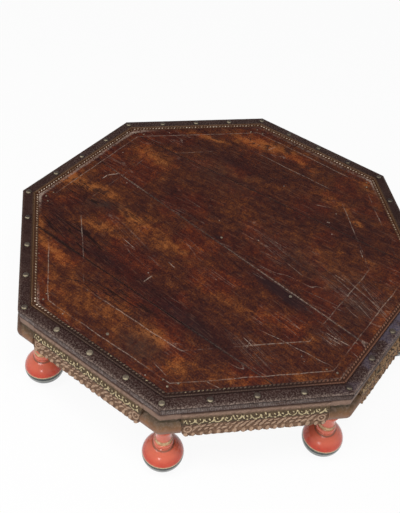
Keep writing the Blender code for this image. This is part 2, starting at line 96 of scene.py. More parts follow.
class Slot(Enum):
    """Material slots of the record."""

    BOARDS = "dark_board_wood"
    STRAPS = "dark_iron"
    BANDS = "worn_iron"
    STRIPS = "tarnished_brass"
    APRONS = "painted_carved_wood"
    POSTS = "plain_frame_wood"
    FEET = "red_lacquered_wood"


class Effect(Enum):
    """Node groups that finishes share."""

    STREAKS = "streaks"
    PATCHES = "patches"
    SPECKS = "specks"
    HAIRLINES = "hairlines"
    MARK = "mark"


@dataclass(frozen=True)
class Sizes:
    """Leading lengths of the table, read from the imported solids.

    Attributes:
        rim: Middle of the table to its outer edge.
        band_back: Middle of the table to the flat back of the edge bands.
        band_low: Lower edge of the edge bands.
        band_high: Upper edge of the edge bands.
        board_edge: Middle of the table to the edge of the boards.
        board_low: Underside of the boards.
        board_high: Face of the boards.
        metal_low: Underside of the straps and strips.
        strip_outer: Middle of the table to the outer edge of the beaded strips.
        strip_inner: Middle of the table to their inner edge.
        frame_top: Upper edge of the aprons and posts.
        apron_low: Lower edge of the aprons.
        apron_back: Middle of the table to the back of the aprons.
        post_low: Underside of the posts.
        post_end: Middle of a side to the end of a post.
        foot: Axis of the foot at the right-hand end of the front side.
    """

    rim: float
    band_back: float
    band_low: float
    band_high: float
    board_edge: float
    board_low: float
    board_high: float
    metal_low: float
    strip_outer: float
    strip_inner: float
    frame_top: float
    apron_low: float
    apron_back: float
    post_low: float
    post_end: float
    foot: Pair

    @classmethod
    def read(cls) -> "Sizes":
        """Takes each length from the box of a solid that shows it.

        Returns:
            The lengths.
        """
        band, board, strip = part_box("edge_band_front"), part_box("board_1"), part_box("bead_strip_front")
        apron, post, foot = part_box("apron_front"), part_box("corner_post_1"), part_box("foot_1")
        axis = (foot[0] + foot[1]) / 2
        return cls(
            rim=-band[0].y, band_back=-band[1].y, band_low=band[0].z, band_high=band[1].z,
            board_edge=-board[0].y, board_low=board[0].z, board_high=board[1].z,
            metal_low=strip[0].z, strip_outer=-strip[0].y, strip_inner=-strip[1].y,
            frame_top=apron[1].z, apron_low=apron[0].z, apron_back=-apron[1].y,
            post_low=post[0].z, post_end=post[0].x, foot=(axis.x, axis.y),
        )


SIZES = Sizes.read()


def paint(code: str) -> Colour:
    """A colour as the renderer counts it.

    Args:
        code: Six hexadecimal digits of a display colour.

    Returns:
        Linear red, green and blue, and an alpha of 1.
    """
    shares = [int(code[i : i + 2], 16) / 255 for i in (0, 2, 4)]
    linear = [s / 12.92 if s <= 0.04045 else ((s + 0.055) / 1.055) ** 2.4 for s in shares]
    return (linear[0], linear[1], linear[2], 1.0)


# Shapes


@dataclass
class Shape:
    """Points, four-sided faces, end faces and values on the points of one piece.

    Attributes:
        points: One row of x, y and z per point.
        quads: One row of four point numbers per face.
        caps: Point numbers of each end face.
        values: Numbers or vectors on the points, by name.
    """

    points: Array
    quads: Array
    caps: List[List[int]] = field(default_factory=list)
    values: Dict[str, Array] = field(default_factory=dict)

    def turned(self, turns: float) -> "Shape":
        """The shape turned by so many eighths of a turn, sharing its faces and values with this one."""
        return Shape(turned_points(self.points, turns), self.quads, self.caps, self.values)

    def joined(self, other: "Shape") -> "Shape":
        """Both shapes in one, with the values that both have.

        Args:
            other: The shape to add.

        Returns:
            The joined shape.
        """
        count = len(self.points)
        caps = self.caps + [[i + count for i in cap] for cap in other.caps]
        shared = [name for name in self.values if name in other.values]
        values = {name: np.concatenate([self.values[name], other.values[name]]) for name in shared}
        points = np.concatenate([self.points, other.points])
        return Shape(points, np.concatenate([self.quads, other.quads + count]), caps, values)

    def repeated(self, points: Array, values: Dict[str, Array]) -> "Shape":
        """Copies of the shape, each with points of its own.

        Args:
            points: Copy number, then point number, then x, y and z.
            values: Arrays that spread over the first two axes of the points.

        Returns:
            All copies in one shape.
        """
        quads = self.quads[None] + np.arange(len(points))[:, None, None] * len(self.points)
        flat = {name: np.broadcast_to(v, points.shape[:2]).ravel() for name, v in values.items()}
        return Shape(points.reshape(-1, 3), quads.reshape(-1, 4), [], flat)


def turned_points(points: Array, turns: float) -> Array:
    """Points turned about the vertical axis through the origin.

    Args:
        points: Rows whose first two numbers are x and y.
        turns: How many eighths of a turn, anticlockwise.

    Returns:
        The turned points.
    """
    c, s = math.cos(turns * TURN), math.sin(turns * TURN)
    x, y = points[..., 0], points[..., 1]
    out = points.copy()
    out[..., 0], out[..., 1] = x * c - y * s, x * s + y * c
    return out


def octagon_reach(x: Array, y: Array) -> Array:
    """Distance from the middle, square to the nearest side: the largest of |x|, |y| and |x +- y| / root 2."""
    return np.maximum.reduce([np.abs(x), np.abs(y), np.abs(x + y) * SLANT, np.abs(x - y) * SLANT])


def grid_quads(rows: int, columns: int) -> Array:
    """Faces between the neighbours of a grid of points whose last column joins the first.

    Args:
        rows: Number of rows.
        columns: Number of points in a row.

    Returns:
        Four point numbers per face.
    """
    i = np.arange(rows - 1)[:, None] * columns
    j = np.arange(columns)[None, :]
    k = (j + 1) % columns
    return np.stack([i + j, i + k, i + columns + k, i + columns + j], -1).reshape(-1, 4)


def tube(rings: Array, values: Dict[str, Array]) -> Shape:
    """A closed skin through rings of points, with an end face at each end.

    Args:
        rings: Ring number, then place on the ring, then x, y and z.
        values: Arrays that spread over the first two axes of the rings.

    Returns:
        The closed shape.
    """
    count, around = rings.shape[:2]
    last = (count - 1) * around
    caps = [list(range(around)), list(range(last, last + around))]
    spread = {name: np.broadcast_to(v, (count, around) + v.shape[2:]) for name, v in values.items()}
    flat = {name: v.reshape(count * around, *v.shape[2:]) for name, v in spread.items()}
    return Shape(rings.reshape(-1, 3), grid_quads(count, around), caps, flat)


def turning(profile: Array, segments: int) -> Shape:
    """A profile carried round the vertical axis: x = r cos t, y = r sin t, z = height.

    Args:
        profile: Radius and height of each point, from the axis at the top to the axis at the bottom.
        segments: Number of steps round.

    Returns:
        The turned shape, whose points at the axis coincide.
    """
    t = np.arange(segments) * math.tau / segments
    radius, height = profile[:, :1], profile[:, 1:]
    rings = np.stack([radius * np.cos(t), radius * np.sin(t), height + 0 * t], -1)
    return Shape(rings.reshape(-1, 3), grid_quads(len(profile), segments))


def curve(centre: Pair, radii: Pair, start: float, end: float, steps: int) -> Array:
    """Points of an elliptical arc, centre + radii * (cos t, sin t), in even steps between two degrees."""
    t = np.radians(np.linspace(start, end, steps + 1))
    return np.stack([centre[0] + radii[0] * np.cos(t), centre[1] + radii[1] * np.sin(t)], -1)


def ripple(x: Array, y: Array, wavelength: float, seed: int) -> Array:
    """Smooth random waviness between -1 and 1: the mean of plane sine waves of random direction.

    Args:
        x: First coordinate.
        y: Second coordinate.
        wavelength: Usual length of a wave.
        seed: Start of the random draws.

    Returns:
        One number per point.
    """
    rng = np.random.default_rng(seed)
    angle = rng.uniform(0, math.tau, WAVES)
    pace = math.tau / wavelength * rng.uniform(0.6, 1.6, WAVES)
    phase = rng.uniform(0, math.tau, WAVES)
    waves = np.multiply.outer(x, pace * np.cos(angle)) + np.multiply.outer(y, pace * np.sin(angle))
    return np.sin(waves + phase).mean(-1)


def soft_step(x: Array, low: float, high: float) -> Array:
    """A smooth rise from 0 at low to 1 at high."""
    t = np.clip((x - low) / (high - low), 0, 1)
    return t * t * (3 - 2 * t)


def bump(x: Array, middle: float, width: float) -> Array:
    """A bell, exp(-((x - middle) / width)^2)."""
    return np.exp(-(((x - middle) / width) ** 2))


def make_piece(
    name: str, shape: Shape, material: Material, sharp: float = 40.0
) -> bpy.types.Object:
    """Puts a shape into the scene as a piece that rides on the table.

    Args:
        name: Name of the piece.
        shape: Its points, faces and values.
        material: Its finish.
        sharp: Edges that turn by more than this many degrees stay sharp.

    Returns:
        The new object, at the origin.
    """
    mesh = bpy.data.meshes.new(name)
    mesh.from_pydata(shape.points.tolist(), [], shape.quads.tolist() + shape.caps)
    for label, value in shape.values.items():
        kind, key = ("FLOAT_VECTOR", "vector") if value.ndim == 2 else ("FLOAT", "value")
        layer = mesh.attributes.new(label, kind, "POINT")
        layer.data.foreach_set(key, value.astype(np.float32).ravel())
    skin = bmesh.new()
    skin.from_mesh(mesh)
    bmesh.ops.remove_doubles(skin, verts=skin.verts, dist=WELD)
    bmesh.ops.dissolve_degenerate(skin, dist=WELD / 10, edges=skin.edges)
    bmesh.ops.recalc_face_normals(skin, faces=skin.faces)
    skin.to_mesh(mesh)
    skin.free()
    mesh.shade_smooth()
    mesh.set_sharp_from_angle(angle=math.radians(sharp))
    mesh.materials.append(material)
    piece = bpy.data.objects.new(name, mesh)
    bpy.context.scene.collection.objects.link(piece)
    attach(piece, BODY)
    LOG.info("%s: %d faces", name, len(mesh.polygons))
    return piece


# Shader nodes


class Sketch:
    """Short forms for the shader nodes of one tree."""

    def __init__(self, tree: bpy.types.NodeTree) -> None:
        """Keeps the tree that nodes are added to."""
        self.tree = tree

    def fill(self, node: bpy.types.Node, inputs: Dict[Union[int, str], object]) -> bpy.types.Node:
        """Links or sets a node's inputs.

        Args:
            node: The node.
            inputs: A link or a constant for each input that is set.

        Returns:
            The same node.
        """
        for key, value in inputs.items():
            if isinstance(value, Socket):
                self.tree.links.new(value, node.inputs[key])
            else:
                node.inputs[key].default_value = value
        return node

    def add(self, kind: str, inputs: Dict[Union[int, str], object], **settings: object) -> bpy.types.Node:
        """Adds a node.

        Args:
            kind: The node's type, without the word ShaderNode.
            inputs: A link or a constant for each input that is set.
            settings: The node's own options.

        Returns:
            The new node.
        """
        node = self.tree.nodes.new("ShaderNode" + kind)
        for name, option in settings.items():
            setattr(node, name, option)
        return self.fill(node, inputs)

    def effect(self, effect: Effect, vector: Socket, **numbers: Value) -> Socket:
        """Places a shared group.

        Args:
            effect: Which group.
            vector: Coordinates for it.
            numbers: Its other inputs, by name.

        Returns:
            The group's mask.
        """
        node = self.tree.nodes.new("ShaderNodeGroup")
        node.node_tree = bpy.data.node_groups[effect.value]
        return self.fill(node, {"Vector": vector, **numbers}).outputs["Mask"]

    def patches(self, vector: Socket, scale: float, level: float, softness: float) -> Socket:
        """Cloudy areas where noise of a scale passes a level, with soft edges."""
        return self.effect(Effect.PATCHES, vector, Scale=scale, Level=level, Softness=softness)

    def math(self, operation: str, a: Value, b: Value = 0.0) -> Socket:
        """One arithmetic step on two values."""
        return self.add("Math", {0: a, 1: b}, operation=operation).outputs[0]

    def chain(self, operation: str, values: Tuple[Value, ...]) -> Socket:
        """One arithmetic step carried through several values.

        Args:
            operation: The step.
            values: The values, in order.

        Returns:
            The result of the last step.
        """
        total = values[0]
        for value in values[1:]:
            total = self.math(operation, total, value)
        return total

    def times(self, *values: Value) -> Socket:
        """The product of several values."""
        return self.chain("MULTIPLY", values)

    def plus(self, *values: Value) -> Socket:
        """The sum of several values."""
        return self.chain("ADD", values)

    def most(self, *values: Value) -> Socket:
        """The largest of several values."""
        return self.chain("MAXIMUM", values)

    def sway(self, value: Socket, share: float) -> Socket:
        """A value's distance from 0.5, times a share."""
        return self.times(self.plus(value, -0.5), share)

    def lift(self, value: Value, base: float, share: float) -> Socket:
        """A base, plus a share of a value."""
        return self.plus(base, self.times(value, share))

    def rest(self, value: Value) -> Socket:
        """What a share leaves of 1."""
        return self.math("SUBTRACT", 1.0, value)

    def size(self, value: Value) -> Socket:
        """A value without its sign."""
        return self.math("ABSOLUTE", value)

    def rise(self, value: Value, low: Value, high: Value, first: float = 0.0, last: float = 1.0) -> Socket:
        """A smooth step from a first number at low to a last one at high."""
        inputs = {"Value": value, "From Min": low, "From Max": high, "To Min": first, "To Max": last}
        return self.add("MapRange", inputs, interpolation_type="SMOOTHSTEP").outputs["Result"]

    def fall(self, value: Value, low: Value, high: Value) -> Socket:
        """A smooth step from 1 at low to 0 at high."""
        return self.rise(value, low, high, 1.0, 0.0)

    def band(self, value: Value, middle: float, half: float, soft: float) -> Socket:
        """1 within half of the middle, falling to 0 over a soft edge."""
        return self.fall(self.size(self.plus(value, -middle)), half, half + soft)

    def mix(self, share: Value, a: Tint, b: Tint) -> Socket:
        """Colour a turning into colour b, each a link, a code or plain numbers."""
        a, b = [paint(tint) if isinstance(tint, str) else tint for tint in (a, b)]
        return self.add("Mix", {0: share, MIX_A: a, MIX_B: b}, data_type="RGBA").outputs[MIX_OUT]

    def shade(self, share: Value, colour: Tint, depth: float) -> Socket:
        """A colour darkened to a part of itself."""
        inputs = {0: share, MIX_A: colour, MIX_B: (depth, depth, depth, 1.0)}
        return self.add("Mix", inputs, data_type="RGBA", blend_type="MULTIPLY").outputs[MIX_OUT]

    def ramp(self, value: Socket, stops: Tuple[Tuple[float, str], ...]) -> Socket:
        """Colours along a value.

        Args:
            value: Where on the ramp.
            stops: Place and colour of each stop, in order.

        Returns:
            The colour.
        """
        node = self.add("ValToRGB", {0: value})
        elements = node.color_ramp.elements
        elements[0].position, elements[1].position = stops[0][0], stops[-1][0]
        elements[0].color, elements[1].color = paint(stops[0][1]), paint(stops[-1][1])
        for at, code in stops[1:-1]:
            elements.new(at).color = paint(code)
        return node.outputs["Color"]

    def noise(self, vector: Socket, scale: Value, detail: float = 3.0, twist: Value = 0.0) -> Socket:
        """Fractal noise around 0.5."""
        inputs = {"Vector": vector, "Scale": scale, "Detail": detail, "Roughness": 0.62, "Distortion": twist}
        return self.add("TexNoise", inputs).outputs[0]

    def turned(self, vector: Socket, degrees: float) -> Socket:
        """Coordinates turned about the vertical."""
        turn = (0.0, 0.0, math.radians(degrees))
        return self.add("Mapping", {"Vector": vector, "Rotation": turn}).outputs[0]

    def value_of(self, name: str) -> Socket:
        """A value that the mesh carries on its points."""
        return self.add("Attribute", {}, attribute_name=name).outputs["Fac"]

    def vector_of(self, name: str) -> Socket:
        """A vector that the mesh carries on its points."""
        return self.add("Attribute", {}, attribute_name=name).outputs["Vector"]

    def place(self) -> Socket:
        """Coordinates of the table, in metres."""
        return self.add("TexCoord", {}).outputs["Object"]

    def axes(self, vector: Socket) -> Tuple[Socket, Socket, Socket]:
        """The three parts of a vector."""
        parts = self.add("SeparateXYZ", {0: vector}).outputs
        return parts[0], parts[1], parts[2]


class EffectShelf:
    """Builds the node groups that finishes share, each once."""

    def build(self) -> None:
        """Builds every group."""
        self.streaks()
        self.patches()
        self.specks()
        self.hairlines()
        self.mark()

    @staticmethod
    def _start(effect: Effect, **numbers: float) -> Tuple[Sketch, Dict[str, Socket]]:
        """Starts a group that takes a vector and some numbers and gives a mask.

        Args:
            effect: Which group.
            numbers: Its inputs besides the vector, with their usual values.

        Returns:
            A sketch of the group, and its inputs by name.
        """
        tree = bpy.data.node_groups.new(effect.value, "ShaderNodeTree")
        tree.interface.new_socket(name="Vector", in_out="INPUT", socket_type="NodeSocketVector")
        for label, usual in numbers.items():
            socket = tree.interface.new_socket(name=label, in_out="INPUT", socket_type="NodeSocketFloat")
            socket.default_value = usual
        tree.interface.new_socket(name="Mask", in_out="OUTPUT", socket_type="NodeSocketFloat")
        source = tree.nodes.new("NodeGroupInput")
        return Sketch(tree), {s.name: s for s in source.outputs if s.name}

    @staticmethod
    def _end(s: Sketch, mask: Socket) -> None:
        """Gives the group its result."""
        s.tree.links.new(mask, s.tree.nodes.new("NodeGroupOutput").inputs["Mask"])

    @staticmethod
    def _drawn(s: Sketch, taken: Dict[str, Socket]) -> Socket:
        """Coordinates scaled along the first axis and across it."""
        scale = s.add("CombineXYZ", {0: taken["Along"], 1: taken["Across"], 2: taken["Across"]}).outputs[0]
        return s.add("VectorMath", {0: taken["Vector"], 1: scale}, operation="MULTIPLY").outputs[0]

    def streaks(self) -> None:
        """Noise drawn out along the first axis, as wood grain and rubbed metal are."""
        s, taken = self._start(Effect.STREAKS, Along=5.0, Across=60.0, Twist=0.3)
        self._end(s, s.noise(self._drawn(s, taken), 1.0, 5.0, taken["Twist"]))

    def patches(self) -> None:
        """Cloudy areas: noise cut softly at a level, as wear and dirt are."""
        s, taken = self._start(Effect.PATCHES, Scale=20.0, Level=0.5, Softness=0.1)
        cloud = s.noise(taken["Vector"], taken["Scale"], 5.0)
        low, high = [s.math(op, taken["Level"], taken["Softness"]) for op in ("SUBTRACT", "ADD")]
        self._end(s, s.rise(cloud, low, high))

    def specks(self) -> None:
        """Scattered dots: cells whose random colour passes the share, near the cell's middle."""
        s, taken = self._start(Effect.SPECKS, Scale=60.0, Size=0.1, Share=0.3)
        cells = s.add("TexVoronoi", {"Vector": taken["Vector"], "Scale": taken["Scale"]}).outputs
        dot = s.fall(cells["Distance"], taken["Size"], s.times(taken["Size"], 1.6))
        chosen = s.math("LESS_THAN", s.axes(cells["Color"])[0], taken["Share"])
        self._end(s, s.times(dot, chosen))

    def hairlines(self) -> None:
        """Thin lines where drawn-out noise passes its middle value, as scratches and cracks run."""
        s, taken = self._start(Effect.HAIRLINES, Along=8.0, Across=80.0, Width=0.02, Twist=0.0)
        away = s.size(s.plus(s.noise(self._drawn(s, taken), 1.0, 2.0, taken["Twist"]), -0.5))
        self._end(s, s.fall(away, taken["Width"], s.times(taken["Width"], 2.0)))

    def mark(self) -> None:
        """A straight mark between -1 and 1 on the first two axes, crisp across and fading at its ends."""
        s, taken = self._start(Effect.MARK)
        u, v, _ = s.axes(taken["Vector"])
        self._end(s, s.times(s.fall(s.size(u), 0.55, 1.0), s.fall(s.size(v), 0.5, 1.5)))


# Finishes


@dataclass(frozen=True)
class Zone:
    """A soft oval area of the top.

    Attributes:
        x: Middle.
        y: Middle.
        length: Half length, along the zone's direction.
        width: Half width.
        angle: Direction, in degrees.
        strength: Value in the middle.
    """

    x: float
    y: float
    length: float
    width: float
    angle: float
    strength: float

    def spread(self, x: Array, y: Array) -> Array:
        """Strength times exp(-(u / length)^2 - (v / width)^2), with u and v along and across the zone.

        Args:
            x: First coordinate of the points.
            y: Second coordinate of the points.

        Returns:
            One number per point.
        """
        a = math.radians(self.angle)
        u = (x - self.x) * math.cos(a) + (y - self.y) * math.sin(a)
        v = (y - self.y) * math.cos(a) - (x - self.x) * math.sin(a)
        return self.strength * np.exp(-((u / self.length) ** 2) - (v / self.width) ** 2)

    def mark(self, s: Sketch, vector: Socket) -> Socket:
        """The zone as a thin straight mark in a finish.

        Args:
            s: Where nodes are added.
            vector: Coordinates of the table.

        Returns:
            The mark's mask.
        """
        turn = (0.0, 0.0, math.radians(self.angle))
        inputs = {"Vector": vector, "Location": (self.x, self.y, 0.0), "Rotation": turn}
        inputs["Scale"] = (self.length, self.width, 1.0)
        local = s.add("Mapping", inputs, vector_type="TEXTURE").outputs[0]
        return s.times(s.effect(Effect.MARK, local), self.strength)


def ovals(*rows: Numbers) -> Tuple[Zone, ...]:
    """Zones from rows of x, y, half length and half width in millimetres, degrees and strength."""
    return tuple(Zone(*[length / 1000 for length in row[:4]], *row[4:]) for row in rows)


SCRATCHES = ovals(
    (64.3, -219.7, 60, 0.45, -39.4, 0.65), (126.3, -212.2, 21, 0.5, -44.4, 0.8),
    (122, -215.3, 12, 0.45, -45.6, 0.7), (114.7, -216.3, 12.5, 0.45, -45.4, 0.6),
    (176.1, -163.9, 24.1, 0.4, -69, 0.45), (198.8, -162.2, 23.3, 0.4, -66, 0.5),
    (201.8, -177.9, 25, 0.4, -70, 0.4), (160.5, -102.6, 12, 0.5, -53, 0.6),
    (206.9, -55.2, 9, 0.6, -90, 0.7), (4, -205.6, 10.7, 0.5, -57, 0.75),
    (3.4, -208.9, 9.3, 0.45, 58, 0.65), (122.9, 209.7, 9.2, 0.6, 24, 0.8),
    (-169, 150.8, 7.2, 0.8, 43, 0.9), (-156.5, 156, 10, 0.8, 7, 0.9), (-142, -6.3, 15, 0.5, -52, 0.75),
    (-82.9, -56.5, 9, 0.6, -55, 0.8), (-119.3, -80.4, 9.9, 0.8, 38.8, 0.7),
    (-117.4, -239.2, 15, 0.45, -56, 0.5), (97.2, -79.5, 19.7, 0.45, -54.6, 0.4),
    (-53.1, -269.1, 12.8, 0.5, -41, 0.55), (159.4, -167.3, 14.6, 0.4, -62.2, 0.4),
    (182.9, -158.7, 13.8, 0.4, -65.4, 0.4), (199.8, -159.2, 12.7, 0.4, -65.9, 0.4),
    (205.5, -173.5, 11.1, 0.4, -69.1, 0.45), (142.7, -240.1, 9, 0.4, -52.1, 0.45),
    (194.7, -136.8, 25.7, 0.4, -73.2, 0.4), (123.9, -214.6, 10.3, 0.4, -43.1, 0.45),
)
SPLITS = ovals(
    (-227.8, -73.2, 19, 0.6, -24.6, 0.9), (-200.6, -96.2, 23, 0.55, -53.3, 0.8),
    (-156, -140.5, 46, 0.5, -45.4, 0.65), (-215, 33, 30, 0.6, -40, 0.7),
)
DUSTY_SEAM = ovals(
    (79, -122, 125, 20, -51, 1), (-129, 137, 40, 20, -51, 0.9), (-60, 48, 60, 20, -51, 0.25),
    (-10, -210, 70, 20, -46, 0.8),
)
OPEN_SEAM = ovals((-244, 5, 48, 20, -46, 1))
WEAR: Dict[str, Tuple[Zone, ...]] = {
    "worn": ovals(
        (-254, -9, 38, 13, -48, 0.95), (-254, -84, 39, 19, -66, 0.4), (-184, -134, 78, 22, -54, 0.6),
        (-236, -141, 28, 11, -42, 0.65), (-121, -186, 27, 11, -43, 0.95), (-94, -236, 23, 16, -34, 0.9),
        (-222, 152, 23, 13, 36, 0.8), (-184, 121, 43, 13, -38, 1.2), (-132, 48, 37, 11, -49, 1.05),
        (-177, 31, 48, 16, -33, 0.9), (-86, -13, 41, 16, -32, 0.75), (-86, 197, 49, 24, -48, 0.82),
        (19, 246, 35, 6, -29, 1.25), (220, 9, 8, 5, -49, 2.2), (112, 220, 63, 18, -31, 1.32),
        (173, 156, 34, 10, -55, 0.8), (196, 66, 39, 11, -56, 0.65), (150, -69, 62, 29, -64, 0.4),
        (45, 35, 50, 22, -50, 0.35), (24, -155, 102, 11, -36, 0.45), (201, -185, 37, 8, 46, 0.7),
        (18, -266, 93, 11, -4, 0.35), (-72, -95, 63, 16, -39, 0.25), (262, 98, 26, 10, -76, 0.5),
        (-271, 46, 23, 8, -85, 0.8), (-44, -253, 20, 11, -30, 0.45), (77, -268, 25, 8, 0, 0.4),
        (264, -10, 22, 11, -65, 0.45), (-248, 136, 13, 12, 0, 0.4),
    ),
    "stain": ovals(
        (-245, 67, 31, 13, -71, 0.65), (-183, -31, 71, 16, -42, 0.7), (-75, -159, 101, 21, -49, 0.95),
        (50, 171, 77, 14, -38, 0.75), (-47, 78, 49, 22, -49, 0.45), (194, -1, 91, 16, -43, 0.65),
        (42, -94, 64, 10, -52, 0.65), (77, -133, 47, 13, -53, 1.15), (-143, -196, 14, 10, -37, 0.5),
        (22, -182, 18, 10, -56, 0.35), (-125, 131, 24, 10, -50, 0.55), (-5, -5, 8, 5, -52, 1.2),
        (128, -220, 23, 13, -46, 0.65), (80, -23, 22, 12, -50, 0.5), (149, 64, 25, 12, -50, 0.5),
        (175, -148, 25, 12, -50, 0.45), (-110, -262, 20, 10, -45, 0.5), (-128, 9, 20, 9, -48, 0.45),
        (-167, 81, 20, 7, -18, 0.65),
    ),
    "crack": ovals(
        (-217, 16, 85, 22, -46, 1), (-166, -107, 85, 18, -42, 0.7), (-197, 113, 45, 30, -35, 0.9),
        (-121, 49, 50, 30, -42, 0.5),
    ),
    "hatch": ovals(
        (185, -140, 55, 36, -50, 0.6), (119, -207, 24, 16, -50, 0.9), (84, -36, 80, 30, -50, 0.45),
        (-131, 10, 60, 16, -45, 0.5), (9, -221, 60, 24, -50, 0.5),
    ),
    "haze": ovals(
        (-171, 80, 30, 10, -20, 0.9), (-140, -197, 30, 22, -45, 0.8), (172, -164, 55, 40, -45, 0.35),
        (115, -60, 80, 30, -50, 0.3), (20, 150, 60, 30, -45, 0.5),
    ),
    "blank": ovals(
        (-210, 85, 34, 30, 0, 1.2), (209, 87, 20, 20, 0, 1.2), (-87, 210, 30, 20, 0, 1.2),
        (222, -168, 20, 12, 45, 1.1), (-259, 60, 20, 70, 0, 0.8),
    ),
    "clear": ovals(
        (-160, -170, 78, 45, -45, 0.9), (30, -262, 90, 20, 0, 0.8), (40, -211, 55, 20, 0, 0.7),
        (165, 165, 90, 45, -45, 0.8), (-20, 258, 100, 14, 0, 0.8), (-190, 176, 80, 14, 45, 0.8),
        (-259, -45, 45, 14, 90, 0.9), (205, -160, 80, 30, 45, 0.4),
    ),
    "rim": ovals(
        (-199, 199, 120, 30, 45, 0.85), (-279, 111, 22, 22, 0, 0.9), (-118, 275, 32, 22, 0, 0.9),
        (-278, -108, 22, 22, 0, 0.8), (276, 109, 26, 22, 0, 0.9), (199, 199, 110, 30, -45, 0.45),
        (116, -276, 40, 20, 0, 0.6),
    ),
}


@dataclass(frozen=True)
class Finish:
    """A finish: a shader whose colour, roughness and bumps come from its own nodes.

    Attributes:
        name: Name of the material.
        metallic: How far it is bare metal.
        specular: Strength of its reflection, where 0.5 is usual.
        coat: Strength of a clear coat.
        bump: Depth of the bumps, in metres.
    """

    name: str
    metallic: float = 0.0
    specular: float = 0.5
    coat: float = 0.0
    bump: float = 0.0003

    def material(self) -> Material:
        """Builds the material.

        Returns:
            The material, with the finish on its shader.
        """
        made = bpy.data.materials.new(self.name)
        made.use_nodes = True
        sketch = Sketch(made.node_tree)
        colour, roughness, height = self.surface(sketch)
        bumps = {"Strength": 1.0, "Distance": self.bump, "Height": height}
        relief = sketch.add("Bump", bumps).outputs["Normal"]
        sketch.fill(made.node_tree.nodes["Principled BSDF"], {
            "Metallic": self.metallic, "Specular IOR Level": self.specular, "Coat Weight": self.coat,
            "Coat Roughness": 0.20, "Base Color": colour, "Roughness": roughness, "Normal": relief,
        })
        return made

    def surface(self, s: Sketch) -> Look:
        """Draws the finish and gives its colour, its roughness and the height of its bumps."""
        raise NotImplementedError


